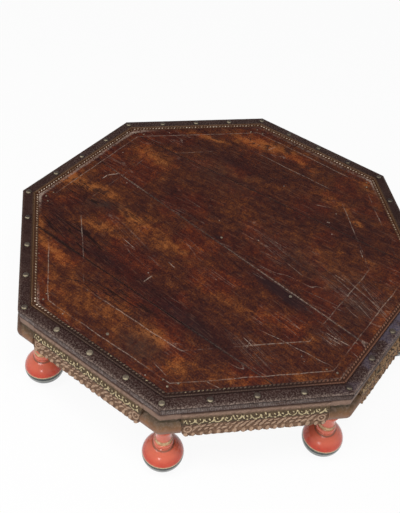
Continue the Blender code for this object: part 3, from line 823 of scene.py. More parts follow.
@dataclass(frozen=True)
class BoardWood(Finish):
    """Old dark boards with rubbed orange areas, stains, cracks, scratches and two scribed octagons.

    Attributes:
        scribed: Middle of the octagons to their sides.
        scribed_middle: Middle of the octagons.
        scribed_half: Half the width of a scribed line.
        hatch_turn: Direction of the fine parallel scratches, in degrees.
        rim: Middle of the table to the beaded strips.
    """

    name: str = "worn_dark_boards"
    specular: float = 0.09
    bump: float = 0.0005
    scribed: Pair = (0.2590, 0.2095)
    scribed_middle: Pair = (-0.0006, -0.0025)
    scribed_half: float = 0.0004
    hatch_turn: float = -60.0
    rim: float = SIZES.strip_inner

    def surface(self, s: Sketch) -> Look:
        """One ramp of browns, moved along it by grain, blotches, wear and stains, with lines over it.

        Args:
            s: Where nodes are added.

        Returns:
            The colour, the roughness and the height of the bumps.
        """
        grain, place = s.vector_of("grain"), s.place()
        broad = s.effect(Effect.STREAKS, grain, Along=5.0, Across=16.0, Twist=1.2)
        middle = s.effect(Effect.STREAKS, grain, Along=18.0, Across=85.0, Twist=1.0)
        fine = s.effect(Effect.STREAKS, grain, Along=45.0, Across=430.0, Twist=0.1)
        cloud, blotch = s.noise(place, 24.0, 4.0, 0.8), s.noise(place, 82.0, 6.0, 0.5)
        grit = s.noise(place, 560.0, 2.0)
        mottle = s.plus(s.sway(broad, 0.40), s.sway(middle, 0.55), s.sway(cloud, 0.22))
        mottle = s.plus(mottle, s.sway(blotch, 0.80), s.sway(grit, 1.15))
        worn, stain = s.value_of("worn"), s.value_of("stain")
        rubbed = s.rise(s.plus(worn, s.sway(blotch, 1.4), s.sway(middle, 1.3)), 0.15, 0.85)
        soiled = s.rise(s.plus(stain, s.sway(blotch, 1.8), s.sway(middle, 1.0)), 0.35, 0.80)
        wear = s.times(rubbed, s.lift(worn, 0.05, 0.07))
        marks = [s.times(worn, 0.285), s.times(soiled, -0.13), s.times(stain, -0.11)]
        tone = s.plus(0.440, mottle, wear, *marks)
        stops = (
            (0.10, "241211", "291110"), (0.30, "331816", "391713"), (0.43, "3e1f17", "461c14"),
            (0.54, "4a2618", "522115"), (0.66, "5b311a", "652b16"), (0.79, "703e1f", "7c3a1a"),
            (0.94, "89522b", "935026"),
        )
        colour, ruddy = [s.ramp(tone, tuple((stop[0], stop[i]) for stop in stops)) for i in (1, 2)]
        colour = s.mix(s.times(s.rise(s.noise(place, 13.0, 3.0), 0.46, 0.62), 0.7), colour, ruddy)
        colour = s.mix(s.times(s.value_of("haze"), s.rise(blotch, 0.32, 0.60), 0.8), colour, "3d2e27")
        colour = s.mix(s.times(s.rise(stain, 0.5, 1.1), soiled, 0.55), colour, "2b1c1e")
        crust = s.times(s.fall(blotch, 0.41, 0.47), s.rise(worn, 0.5, 1.0), 0.85)
        colour = s.mix(crust, colour, "38201a")
        colour = s.shade(s.times(s.rise(grit, 0.57, 0.66), 0.4), colour, 0.6)
        colour = s.shade(s.times(s.rise(fine, 0.53, 0.66), 0.42), colour, 0.50)
        colour = s.mix(s.times(s.fall(fine, 0.34, 0.44), 0.20), colour, "7a5a46")
        wobble = s.add("VectorMath", {0: place, 1: s.sway(s.noise(place, 40.0, 2.0), 0.003)}).outputs[0]
        splits = self._lines(s, wobble, SPLITS)
        cracks = s.effect(Effect.HAIRLINES, grain, Along=5.0, Across=70.0, Width=0.010, Twist=0.4)
        cracks = s.times(cracks, s.rise(s.value_of("crack"), 0.15, 0.6), 0.8)
        cracks = s.most(cracks, splits, s.value_of("joint"))
        colour = s.mix(s.times(cracks, 0.9), colour, "120b0c")
        dust, sunk = self._dust(s, grain, place, wobble)
        colour = s.mix(dust, colour, "a08d7f")
        rough = s.plus(0.44, s.times(middle, 0.16), s.times(dust, 0.3))
        height = s.plus(s.times(middle, 0.3), s.times(fine, 0.16), s.times(cracks, -0.7), s.times(sunk, -0.3))
        return colour, rough, height

    @staticmethod
    def _lines(s: Sketch, vector: Socket, zones: Tuple[Zone, ...]) -> Socket:
        """Straight marks, merged one after another.

        Args:
            s: Where nodes are added.
            vector: Coordinates of the table.
            zones: The marks.

        Returns:
            The mask of all marks.
        """
        total = zones[0].mark(s, vector)
        for zone in zones[1:]:
            total = s.most(total, zone.mark(s, vector))
        return total

    def _dust(self, s: Sketch, grain: Socket, place: Socket, wobble: Socket) -> Tuple[Socket, Socket]:
        """Pale dust in the scribed octagons, seams, scratches and pits.

        The octagons lie at even values of the same distance that octagon_reach gives.

        Args:
            s: Where nodes are added.
            grain: Coordinates along and across the grain.
            place: Coordinates of the table.
            wobble: The same, a little uneven.

        Returns:
            How much dust shows, and how deep its groove is.
        """
        x, y = [s.plus(part, -at) for part, at in zip(s.axes(place), self.scribed_middle)]
        slant = [s.times(s.size(s.math(op, x, y)), SLANT) for op in ("ADD", "SUBTRACT")]
        out = s.plus(s.most(*slant, s.size(x), s.size(y)), s.sway(s.noise(place, 15.0, 3.0), 0.006))
        lines = s.plus(*[s.band(out, at, self.scribed_half, 0.0006) for at in self.scribed])
        whole = s.patches(place, 17.0, 0.54, 0.09)
        whole = s.math("MINIMUM", s.plus(whole, s.rise(s.value_of("clear"), 0.15, 0.65)), 1.0)
        flecks = s.patches(place, 240.0, 0.48, 0.10)
        speckle = s.lift(flecks, 0.2, 0.8)
        scribed = s.times(lines, whole, speckle, s.fall(s.value_of("blank"), 0.3, 0.7), 0.50)
        rim = s.times(s.rise(out, self.rim - 0.0055, self.rim - 0.0015), s.value_of("rim"), flecks, 0.75)
        seams = s.times(s.value_of("seam"), speckle, 0.8)
        across = s.turned(place, -self.hatch_turn)
        hatch = s.effect(Effect.HAIRLINES, across, Along=2.0, Across=260.0, Width=0.010, Twist=0.0)
        hatch = s.times(hatch, s.rise(s.value_of("hatch"), 0.1, 0.8), speckle, 0.48)
        stray = s.effect(Effect.HAIRLINES, grain, Along=4.0, Across=40.0, Width=0.0035, Twist=0.1)
        some = s.patches(place, 13.0, 0.555, 0.05)
        stray = s.times(stray, some, speckle, s.plus(0.20, s.times(s.rise(x, -0.10, 0.05), 0.22)))
        pits = s.times(s.effect(Effect.SPECKS, place, Scale=58.0, Size=0.05, Share=0.20), 0.6)
        marks = s.times(self._lines(s, wobble, SCRATCHES), speckle)
        return s.most(scribed, seams, hatch, stray, pits, marks, rim), s.most(lines, pits)


@dataclass(frozen=True)
class PlainWood(Finish):
    """Bare wood with straight grain, for the pieces under the top.

    Attributes:
        dark: Darker colour.
        pale: Paler colour.
    """

    name: str = "bare_wood"
    specular: float = 0.3
    dark: str = "4a3020"
    pale: str = "7d5738"

    def surface(self, s: Sketch) -> Look:
        """Two browns along the grain, which runs across the joints of the boards, with dirt.

        Args:
            s: Where nodes are added.

        Returns:
            The colour, the roughness and the height of the bumps.
        """
        turned = s.turned(s.place(), -45.0)
        grain = s.effect(Effect.STREAKS, turned, Along=6.0, Across=120.0, Twist=0.5)
        fine = s.effect(Effect.STREAKS, turned, Along=40.0, Across=800.0, Twist=0.1)
        dirt = s.patches(turned, 18.0, 0.5, 0.15)
        colour = s.mix(s.rise(grain, 0.35, 0.65), self.dark, self.pale)
        colour = s.shade(s.times(s.rise(fine, 0.5, 0.7), 0.5), colour, 0.5)
        colour = s.shade(s.times(dirt, 0.6), colour, 0.55)
        return colour, s.lift(fine, 0.62, 0.2), s.plus(s.times(grain, 0.4), s.times(fine, 0.4))


@dataclass(frozen=True)
class Iron(Finish):
    """Dark iron, mottled and pitted, pale on its outer lip from wear and a painted highlight."""

    name: str = "dark_strap_iron"
    metallic: float = 0.0
    specular: float = 0.06
    bump: float = 0.0004

    def surface(self, s: Sketch) -> Look:
        """Dark metal with grey grit towards the outer edge in front, a painted bluish sheen at the right, a
        pale lip that is partly painted highlight, and painted shade along the inner edge at the front.

        Args:
            s: Where nodes are added.

        Returns:
            The colour, the roughness and the height of the bumps.
        """
        place = s.place()
        x, y, _ = s.axes(place)
        near, back, right = s.fall(y, -0.22, 0.03), s.rise(y, 0.10, 0.20), s.rise(x, 0.06, 0.22)
        cloud = s.patches(place, 40.0, 0.53, 0.12)
        mottle = s.patches(place, 430.0, 0.53, 0.08)
        pits = s.effect(Effect.SPECKS, place, Scale=380.0, Size=0.25, Share=0.30)
        colour = s.mix(s.times(cloud, 0.7), "2b1a18", "382622")
        # Painted sheen: bluish patches at the front right stand for a reflection.
        colour = s.mix(s.times(cloud, near, right, 0.7), colour, "4d4a5a")
        outer = s.lift(s.value_of("out"), 0.09, 0.40)
        grit = s.plus(0.08, s.times(back, 0.25), s.times(near, outer))
        colour = s.mix(s.times(mottle, grit), colour, "7b6c64")
        colour = s.shade(s.times(pits, 0.6), colour, 0.45)
        # The outer lip: rubbed wear and a painted highlight of the lit edge, paler in front.
        rubbed = s.mix(near, "54433b", "7a6a61")
        colour = s.mix(s.times(s.value_of("lip"), s.lift(mottle, 0.25, 0.7)), colour, rubbed)
        # Painted shade along the strap's inner edge at the front; towards the back the edge is a paler brown.
        colour = s.mix(s.times(s.value_of("edge"), 0.75), colour, s.mix(near, "5e4733", "1e1514"))
        dents = s.times(s.noise(place, 160.0), 0.5)
        height = s.plus(dents, s.times(s.noise(place, 900.0), 0.25), s.times(pits, -0.4))
        return colour, s.plus(0.44, s.times(mottle, 0.16), s.times(cloud, 0.06)), height


@dataclass(frozen=True)
class NailIron(Finish):
    """Round nail heads, dark with a painted olive highlight crescent, each of its own tone."""

    name: str = "dull_nail_iron"
    metallic: float = 0.05
    specular: float = 0.20
    bump: float = 0.0002

    def surface(self, s: Sketch) -> Look:
        """Dark brown to pale grey by each nail's tone, with a painted highlight crescent, dim at the right,
        and a dark foot.

        Args:
            s: Where nodes are added.

        Returns:
            The colour, the roughness and the height of the bumps.
        """
        place, tone, top = s.place(), s.value_of("tone"), s.value_of("top")
        fleck = s.patches(place, 300.0, 0.5, 0.14)
        colour = s.mix(tone, "2a1f20", "6d6255")
        colour = s.mix(s.times(fleck, tone, 0.4), colour, "a5987a")
        # Painted highlight: a pale crescent on each nail's flank towards the front, dimmer at the right.
        left = s.plus(0.45, s.times(s.fall(s.axes(place)[0], 0.02, 0.14), 0.55))
        glint = s.times(s.value_of("glint"), s.lift(fleck, 0.40, 0.40), left)
        colour = s.mix(glint, colour, "b8a98a")
        colour = s.shade(s.fall(top, 0.10, 0.60), colour, 0.28)
        return colour, s.lift(fleck, 0.42, 0.15), s.noise(place, 420.0)


@dataclass(frozen=True)
class BandIron(Finish):
    """Fluted edge band: grey iron with rust and dirt in its flutes."""

    name: str = "fluted_band_iron"
    metallic: float = 0.05
    specular: float = 0.10

    def surface(self, s: Sketch) -> Look:
        """Blue-grey on the flutes, red-brown rust in cloudy areas, dark in the hollows, with painted shade
        along both edges and over the whole band at the right, and a lower lip painted as shade at the left and
        as a highlight at the right.

        Args:
            s: Where nodes are added.

        Returns:
            The colour, the roughness and the height of the bumps.
        """
        place = s.place()
        x, _, _ = s.axes(place)
        flute, lip, edge = s.value_of("flute"), s.value_of("lip"), s.value_of("edge")
        cloud = s.patches(place, 26.0, 0.5, 0.16)
        fleck = s.patches(place, 320.0, 0.55, 0.1)
        right = s.rise(x, 0.02, 0.20)
        grey = s.mix(flute, "3a2b27", "75665f")
        rust = s.mix(flute, "2e1b16", "573d33")
        # Rust in cloudy areas; at the right the band takes the rust colours throughout, as painted shade of
        # that side.
        colour = s.mix(s.most(s.times(cloud, 0.7), right), grey, rust)
        flecked = s.times(fleck, s.lift(flute, 0.25, 0.4), s.rest(s.times(right, 0.5)))
        colour = s.mix(flecked, colour, "9a8f8b")
        # Painted shade: darker still at the right.
        colour = s.mix(s.times(right, 0.75), colour, s.mix(fleck, "2e1d19", "4a342d"))
        # Painted shade on the lower lip at the left, and a painted highlight on it at the right.
        pale = s.mix(right, "4b2c25", "84736a")
        colour = s.mix(s.times(lip, s.lift(fleck, 0.35, 0.5)), colour, pale)
        worn = s.patches(place, 150.0, 0.5, 0.10)
        colour = s.shade(s.times(worn, 0.6), colour, 0.5)
        # Painted shade in the creases along the upper and lower edges.
        colour = s.shade(s.times(edge, 0.9), colour, 0.15)
        height = s.plus(s.times(fleck, 0.3), s.times(s.noise(place, 500.0), 0.3))
        return colour, s.lift(cloud, 0.45, 0.15), height


@dataclass(frozen=True)
class Brass(Finish):
    """Tarnished brass: pale beads at the back, olive at the sides, darker at the front, with painted
    highlights on some front beads.
    """

    name: str = "tarnished_strip_brass"
    metallic: float = 0.10
    specular: float = 0.2
    bump: float = 0.0002

    def surface(self, s: Sketch) -> Look:
        """Brown hollows, olive slopes and rubbed tops, by where on the table the strip lies.

        Args:
            s: Where nodes are added.

        Returns:
            The colour, the roughness and the height of the bumps.
        """
        place, top = s.place(), s.value_of("top")
        x, y, _ = s.axes(place)
        fleck = s.patches(place, 170.0, 0.46, 0.16)
        back, front_dark = s.rise(y, 0.10, 0.16), s.fall(y, -0.165, -0.115)
        corner = s.times(s.fall(x, -0.268, -0.25), s.band(s.size(y), 0.117, 0.008, 0.016))
        rubbed = s.plus(s.times(back, 0.55), s.times(corner, 0.8), s.times(s.value_of("bead"), 0.55))
        colour = s.mix(s.rise(top, 0.05, 0.6), "482c1e", "5a3f28")
        worn = s.times(s.rise(s.times(top, s.lift(fleck, 0.5, 0.5)), 0.45, 0.95), rubbed)
        colour = s.mix(s.math("MINIMUM", worn, 1.0), colour, "c0ae9b")
        sparse = s.patches(place, 330.0, 0.57, 0.05)
        right = s.rise(x, 0.02, 0.14)
        hollow = s.mix(right, "2c1d19", "40261b")
        front_colour = s.mix(s.rise(top, 0.1, 0.7), hollow, s.mix(right, "402e27", "6f4a38"))
        # Painted highlights: pale specks on bead tops at the front left.
        specks = s.times(s.rise(top, 0.5, 0.9), sparse, s.fall(x, -0.06, 0.06), 0.75)
        front_colour = s.mix(specks, front_colour, "a3936f")
        # Darker at the front.
        colour = s.mix(s.times(front_dark, 0.95), colour, front_colour)
        return colour, s.lift(fleck, 0.40, 0.16), s.noise(place, 420.0)


@dataclass(frozen=True)
class Carving(Finish):
    """Carved and painted wood: dull gold flowers, pinkish leaves, dark ground, and a tan fillet.

    Attributes:
        top: Upper edge of the aprons.
        band_shadow: Depths below it between which the fillet darkens, as painted shadow under the edge band.
    """

    name: str = "painted_carving"
    specular: float = 0.2
    bump: float = 0.0004
    top: float = SIZES.frame_top
    band_shadow: Pair = (0.0055, 0.0005)

    def surface(self, s: Sketch) -> Look:
        """Paint by motif, rubbed off on the tops, with painted shade in the groove, under the edge band and on
        the fillet at the right, golden at the right.

        Args:
            s: Where nodes are added.

        Returns:
            The colour, the roughness and the height of the bumps.
        """
        place = s.place()
        x, _, z = s.axes(place)
        gold, leaf, ground = s.value_of("gold"), s.value_of("leaf"), s.value_of("field")
        fleck = s.patches(place, 300.0, 0.5, 0.16)
        cloud = s.patches(place, 55.0, 0.5, 0.2)
        fillet = s.mix(fleck, "7b6252", "9b7f6e")
        # Painted shadow under the edge band: the fillet darkens towards its upper edge.
        fillet = s.mix(s.rise(z, *[self.top - depth for depth in self.band_shadow]), fillet, "41291f")
        olive = s.mix(fleck, "3d3022", "5b4a36")
        brown = s.mix(fleck, "543c2e", "7c604b")
        colour = s.mix(ground, fillet, brown)
        colour = s.mix(s.value_of("garland"), colour, olive)
        bright = s.lift(fleck, 0.65, 0.35)
        colour = s.mix(s.times(s.rise(gold, 0.25, 0.75), bright, 0.9), colour, "cdbb93")
        colour = s.mix(s.times(s.rise(leaf, 0.25, 0.8), bright), colour, "aa8d76")
        # Painted shade in the groove under the flower band.
        colour = s.shade(s.times(s.value_of("groove"), 0.75), colour, 0.25)
        right = s.rise(x, 0.08, 0.2)
        carved = s.most(ground, s.value_of("garland"))
        # Painted shade: the fillet darkens at the right.
        colour = s.mix(s.times(right, s.rest(carved), 0.75), colour, "46342c")
        spots = s.patches(place, 270.0, 0.50, 0.06)
        colour = s.mix(s.times(right, carved, 0.85), colour, s.mix(spots, "2c1b14", "947352"))
        colour = s.shade(s.times(cloud, 0.35), colour, 0.65)
        height = s.plus(s.times(fleck, 0.4), s.times(s.noise(place, 900.0), 0.3))
        return colour, s.lift(fleck, 0.55, 0.2), height


@dataclass(frozen=True)
class PostPaint(Finish):
    """Moulded posts: a pinkish fillet, a dark olive hollow and a roll from olive through orange to tan.

    Attributes:
        top: Upper edge of the posts.
        low: Underside of the posts.
        left_shade: Where the painted shade towards the left ends, along x.
    """

    name: str = "painted_post"
    specular: float = 0.3
    top: float = SIZES.frame_top
    low: float = SIZES.post_low
    left_shade: Pair = (-0.2995, -0.2970)

    def surface(self, s: Sketch) -> Look:
        """Colours by height, with worn areas, patches of dirt, painted shadow under the edge band and painted
        shade towards the left.

        Args:
            s: Where nodes are added.

        Returns:
            The colour, the roughness and the height of the bumps.
        """
        place = s.place()
        x, _, z = s.axes(place)
        fleck = s.patches(place, 260.0, 0.5, 0.16)
        cloud = s.patches(place, 70.0, 0.52, 0.16)
        share = s.times(s.plus(z, -self.low), 1 / (self.top - self.low))
        down = s.plus(share, s.sway(fleck, 0.06), s.sway(cloud, 0.05))
        # The ramp darkens at its top, as painted shadow under the edge band.
        colour = s.ramp(down, (
            (0.00, "8a6d5c"), (0.16, "836453"), (0.32, "7a5539"), (0.44, "5f452c"), (0.52, "3b3321"),
            (0.68, "3f3725"), (0.74, "7b6152"), (0.92, "846958"), (1.00, "4d352b"),
        ))
        colour = s.mix(s.times(s.rise(fleck, 0.3, 1.0), 0.25), colour, "a08474")
        colour = s.mix(s.times(cloud, 0.35), colour, "5e4234")
        # Painted shade on the faces towards the left.
        colour = s.mix(s.times(s.fall(x, *self.left_shade), 0.6), colour, "4d3226")
        return colour, s.lift(fleck, 0.48, 0.2), s.plus(s.times(cloud, 0.3), s.times(fleck, 0.4))


@dataclass(frozen=True)
class Lacquer(Finish):
    """Red lacquered turning with a rubbed tan collar and dark bands under the ball's widest part.

    Attributes:
        collar: Lower and upper edge of the collar.
        cream_line: Height of the pale line round the ball.
        grey_line: Height of the grey line below it.
        rings: Heights of the dark rings above the ball.
        painted_light: Heights between which the ball turns paler, as painted light on its upper part.
    """

    name: str = "red_foot_lacquer"
    specular: float = 0.15
    coat: float = 0.6
    bump: float = 0.00012
    collar: Pair = (0.0600, 0.0665)
    cream_line: float = 0.0302
    grey_line: float = 0.0230
    rings: Pair = (0.0491, 0.0529)
    painted_light: Pair = (0.0340, 0.0470)

    def surface(self, s: Sketch) -> Look:
        """Colours by height, with painted light on the upper part of the ball, and chips.

        Args:
            s: Where nodes are added.

        Returns:
            The colour, the roughness and the height of the bumps.
        """
        place = s.place()
        _, _, z = s.axes(place)
        cloud = s.patches(place, 36.0, 0.52, 0.18)
        fleck = s.patches(place, 240.0, 0.55, 0.12)
        chips = s.patches(place, 85.0, 0.70, 0.02)
        red = s.mix(cloud, "b2341d", "be452d")
        # Painted light: the upper part of the ball is paler.
        red = s.mix(s.times(s.rise(z, *self.painted_light), 0.6), red, "da7a60")
        red = s.mix(s.times(chips, 0.6), red, "5b3028")
        rings = s.plus(*[s.band(z, at, 0.0005, 0.0006) for at in self.rings])
        red = s.mix(s.times(rings, 0.65), red, "63503f")
        collar = s.band(z, sum(self.collar) / 2, (self.collar[1] - self.collar[0]) / 2, 0.0004)
        colour = s.mix(collar, red, s.mix(fleck, "a9825a", "d9b488"))
        dark = s.mix(fleck, "23292a", "3c4442")
        grey = s.times(s.band(z, self.grey_line, 0.0012, 0.0006), s.lift(cloud, 0.5, 0.4))
        dark = s.mix(grey, dark, "9b9d94")
        colour = s.mix(s.fall(z, self.cream_line - 0.0003, self.cream_line + 0.0003), colour, dark)
        cream = s.times(s.band(z, self.cream_line, 0.0007, 0.0005), s.lift(fleck, 0.55, 0.4))
        colour = s.mix(cream, colour, "c7b48e")
        rough = s.plus(0.18, s.times(cloud, 0.10), s.times(chips, 0.3), s.times(collar, 0.3))
        return colour, rough, s.plus(s.times(s.noise(place, 120.0), 0.8), s.times(chips, -0.6))


# Sub-assemblies


@dataclass
class BoardedTop:
    """The boards of the top, with eased joints and a sunk rim, and the tacks in them.

    Attributes:
        joint_angles: Direction of each joint, in degrees.
        joint_offsets: Distance of each joint from the middle, towards the back right.
        edge: Middle of the table to the outer edge of the boards.
        field_edge: Middle of the table to the sunk rim.
        high: Height of the face.
        low: Height of the underside.
        sunk: Depth of the rim, and the width over which the face falls to it.
        ease: Radius of the eased joints.
        ease_steps: Where the ease has points, as shares of its radius from the joint.
        wave: Depth and length of the face's waves.
        spacing: Step of the grid.
        most_wear: Where the sum of zones stops.
        dust_half: Half width of the dust along a joint.
        joint_half: Half width of a dark joint, and what an open one adds.
        plugs: Place of each single tack, and its size as a share of a usual tack's.
        tack: Radius, height and depth of a tack.
        tack_steps: Places of the tacks by a corner, from the first.
        tack_inset: Place of that first tack, as a share of the field's corner.
    """

    joint_angles: Numbers = (-46.5, -51.0, -42.0)
    joint_offsets: Numbers = (-0.1725, -0.0145, 0.1215)
    edge: float = SIZES.board_edge
    field_edge: float = SIZES.strip_inner - GAP
    high: float = SIZES.board_high
    low: float = SIZES.board_low
    sunk: Pair = (0.0010, 0.0015)
    ease: float = 0.0009
    ease_steps: Numbers = (0, 0.12, 0.35, 0.65, 1.0, 1.6)
    wave: Pair = (0.00012, 0.16)
    spacing: float = 0.003
    most_wear: float = 1.2
    dust_half: float = 0.0009
    joint_half: Pair = (0.0008, 0.0016)
    tack: Triple = (0.0016, 0.0009, 0.002)
    tack_steps: Tuple[Pair, ...] = ((-0.012, 0.004), (0.0, 0.0), (0.006, 0.012))
    tack_inset: float = 0.965
    plugs: Tuple[Triple, ...] = (
        (-0.0006, -0.0048, 1.15), (0.0788, -0.1310, 1.5), (-0.1816, -0.1758, 1.4),
    )

    def outlines(self) -> List[Array]:
        """The octagon of the top, divided at the joints.

        Returns:
            The corners of each board.
        """
        corner = np.array([[self.edge * MITRE, -self.edge]])
        rest = np.concatenate([turned_points(corner, i) for i in range(len(Side))])
        found = []
        for angle, offset in zip(np.radians(self.joint_angles), self.joint_offsets):
            across = np.array([-math.sin(angle), math.cos(angle)])
            found.append(self._clipped(rest, across, offset - GAP / 2))
            rest = self._clipped(rest, -across, -offset - GAP / 2)
        return found + [rest]

    @staticmethod
    def _clipped(outline: Array, normal: Array, distance: float) -> Array:
        """The part of a convex outline on the near side of a line.

        Args:
            outline: Its corners, in order.
            normal: Direction square to the line.
            distance: The line's distance along the normal.

        Returns:
            The corners that are left.
        """
        inside = distance - outline @ normal
        after = np.roll(inside, -1)
        crossed = inside * after < 0
        share = np.where(crossed, inside / np.where(crossed, inside - after, 1), 0)
        cut = outline + (np.roll(outline, -1, 0) - outline) * share[:, None]
        keep = np.stack([inside >= 0, crossed], -1).ravel()
        return np.stack([outline, cut], 1).reshape(-1, 2)[keep]

    def board(self, number: int, outline: Array) -> Shape:
        """One board as rings across the grain.

        At each step u along the grain, the ring runs along the underside from the low to the high edge, and
        back over the face at v = high edge - distance, which the ease lowers by r - sqrt(r^2 - (r - d)^2).

        Args:
            number: Which board, from the front left.
            outline: Its corners.

        Returns:
            The closed board with its values.
        """
        angle = math.radians(self.joint_angles[min(number, len(self.joint_angles) - 1)])
        along = np.array([math.cos(angle), math.sin(angle)])
        across = np.array([-along[1], along[0]])
        u0, v0 = outline @ along, outline @ across
        u1, v1 = np.roll(u0, -1), np.roll(v0, -1)
        u = np.unique(np.concatenate([np.arange(u0.min(), u0.max(), self.spacing), u0]).round(7))
        share = (u[:, None] - u0) / np.where(np.abs(u1 - u0) < WELD, 1, u1 - u0)
        slack = 1e-5
        on = (share > -slack) & (share < 1 + slack) & (np.abs(u1 - u0) >= WELD)
        v = v0 + (v1 - v0) * share
        bottom = np.where(on, v, np.inf).min(1)[:, None]
        top = np.where(on, v, -np.inf).max(1)[:, None]
        near = self.ease * np.array(self.ease_steps)
        half = np.maximum((top - bottom) / 2, 0)
        inner = np.linspace(0, 1, int(np.ptp(v0) / self.spacing) + 2)[1:-1]
        distance = np.minimum(near, half)
        reach = np.maximum(half - near[-1], 0) * 2
        face = [top - distance, top - near[-1] - reach * inner, (bottom + distance)[:, ::-1]]
        rows_v = np.clip(np.concatenate([bottom, top, top, *face, bottom], 1), bottom, top)
        drop = self.ease - np.sqrt(np.maximum(self.ease**2 - np.maximum(self.ease - near, 0) ** 2, 0))
        depth = np.concatenate([[0, 0, 0], drop, np.zeros(len(inner)), drop[::-1], [0]])
        rows_u = np.broadcast_to(u[:, None], rows_v.shape)
        x, y = [rows_u * along[i] + rows_v * across[i] for i in (0, 1)]
        out = octagon_reach(x, y)
        fall = soft_step(out, self.field_edge, self.field_edge + self.sunk[1])
        z = self.high - depth - self.sunk[0] * fall
        waves = 1 + ripple(x, y, self.wave[1], 40 + number)
        z = z - self.wave[0] * waves * (out < self.field_edge - 0.01)
        z[:, :2] = self.low
        z[:, [2, -1]] = self.high - self.ease - self.sunk[0]
        values = self._marks(x, y)
        values["grain"] = np.stack([rows_u, rows_v, np.full_like(x, 0.37 * number)], -1)
        return tube(np.stack([x, y, z], -1), values)

    def _marks(self, x: Array, y: Array) -> Dict[str, Array]:
        """Wear, stains, cracks and joints, as numbers on the points.

        The joints are bells of the distance from the nearest joint, dusty or dark by their zones.

        Args:
            x: First coordinate of the points.
            y: Second coordinate of the points.

        Returns:
            The numbers by name.
        """
        def total(zones: Tuple[Zone, ...], low: float, high: float) -> Array:
            """The sum of the zones, kept between two values."""
            return np.clip(sum(zone.spread(x, y) for zone in zones), low, high)

        values = {name: total(zones, 0.0, self.most_wear) for name, zones in WEAR.items()}
        turns = np.radians(self.joint_angles)
        away = np.stack([np.cos(t) * y - np.sin(t) * x - d for t, d in zip(turns, self.joint_offsets)])
        away = np.abs(away).min(0)
        dusty, wide = total(DUSTY_SEAM, 0.04, 1.0), total(OPEN_SEAM, 0.0, 1.0)
        values["seam"] = bump(away, 0, self.dust_half) * dusty
        dark_half = self.joint_half[0] + self.joint_half[1] * wide
        values["joint"] = bump(away / dark_half, 0, 1) * (1 - 0.8 * dusty)
        return values

    def tacks(self) -> Shape:
        """Small tacks at the corners of the field and single ones, as low domes.

        Returns:
            All tacks in one shape.
        """
        rng = np.random.default_rng(7)
        radius, height, depth = self.tack
        dome = np.concatenate([curve((0, 0), (radius, height), 90, 0, 4), [[radius, -depth], [0, -depth]]])
        one = turning(dome, 10)
        inset = self.tack_inset * self.field_edge
        steps = np.array(self.tack_steps) + [inset * MITRE, -inset]
        plugs = np.array(self.plugs)
        groups = [plugs[:, :2]]
        for turns in range(len(Side)):
            count = 2 + turns % 2
            groups.append(turned_points(steps[:count] + rng.uniform(-0.002, 0.002, (count, 2)), turns))
        places = np.concatenate(groups)
        size = np.concatenate([plugs[:, 2], rng.uniform(0.7, 1.05, len(places) - len(plugs))])
        sets = np.concatenate([places, np.full((len(places), 1), self.high)], 1)
        points = one.points[None] * size[:, None, None] + sets[:, None]
        tone = rng.uniform(0.55, 1.0, (len(places), 1))
        return one.repeated(points, {"tone": tone, "top": np.ones(1), "glint": np.zeros(1)})

    def build(self, wood: Material, iron: Material) -> None:
        """Makes the boards and tacks.

        Args:
            wood: Finish of the boards.
            iron: Finish of the tacks.
        """
        for number, outline in enumerate(self.outlines()):
            piece = make_piece(f"plank_{number + 1}", self.board(number, outline), wood)
            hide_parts(f"board_{number + 1}")
        make_piece("board_tacks", self.tacks(), iron, 60)


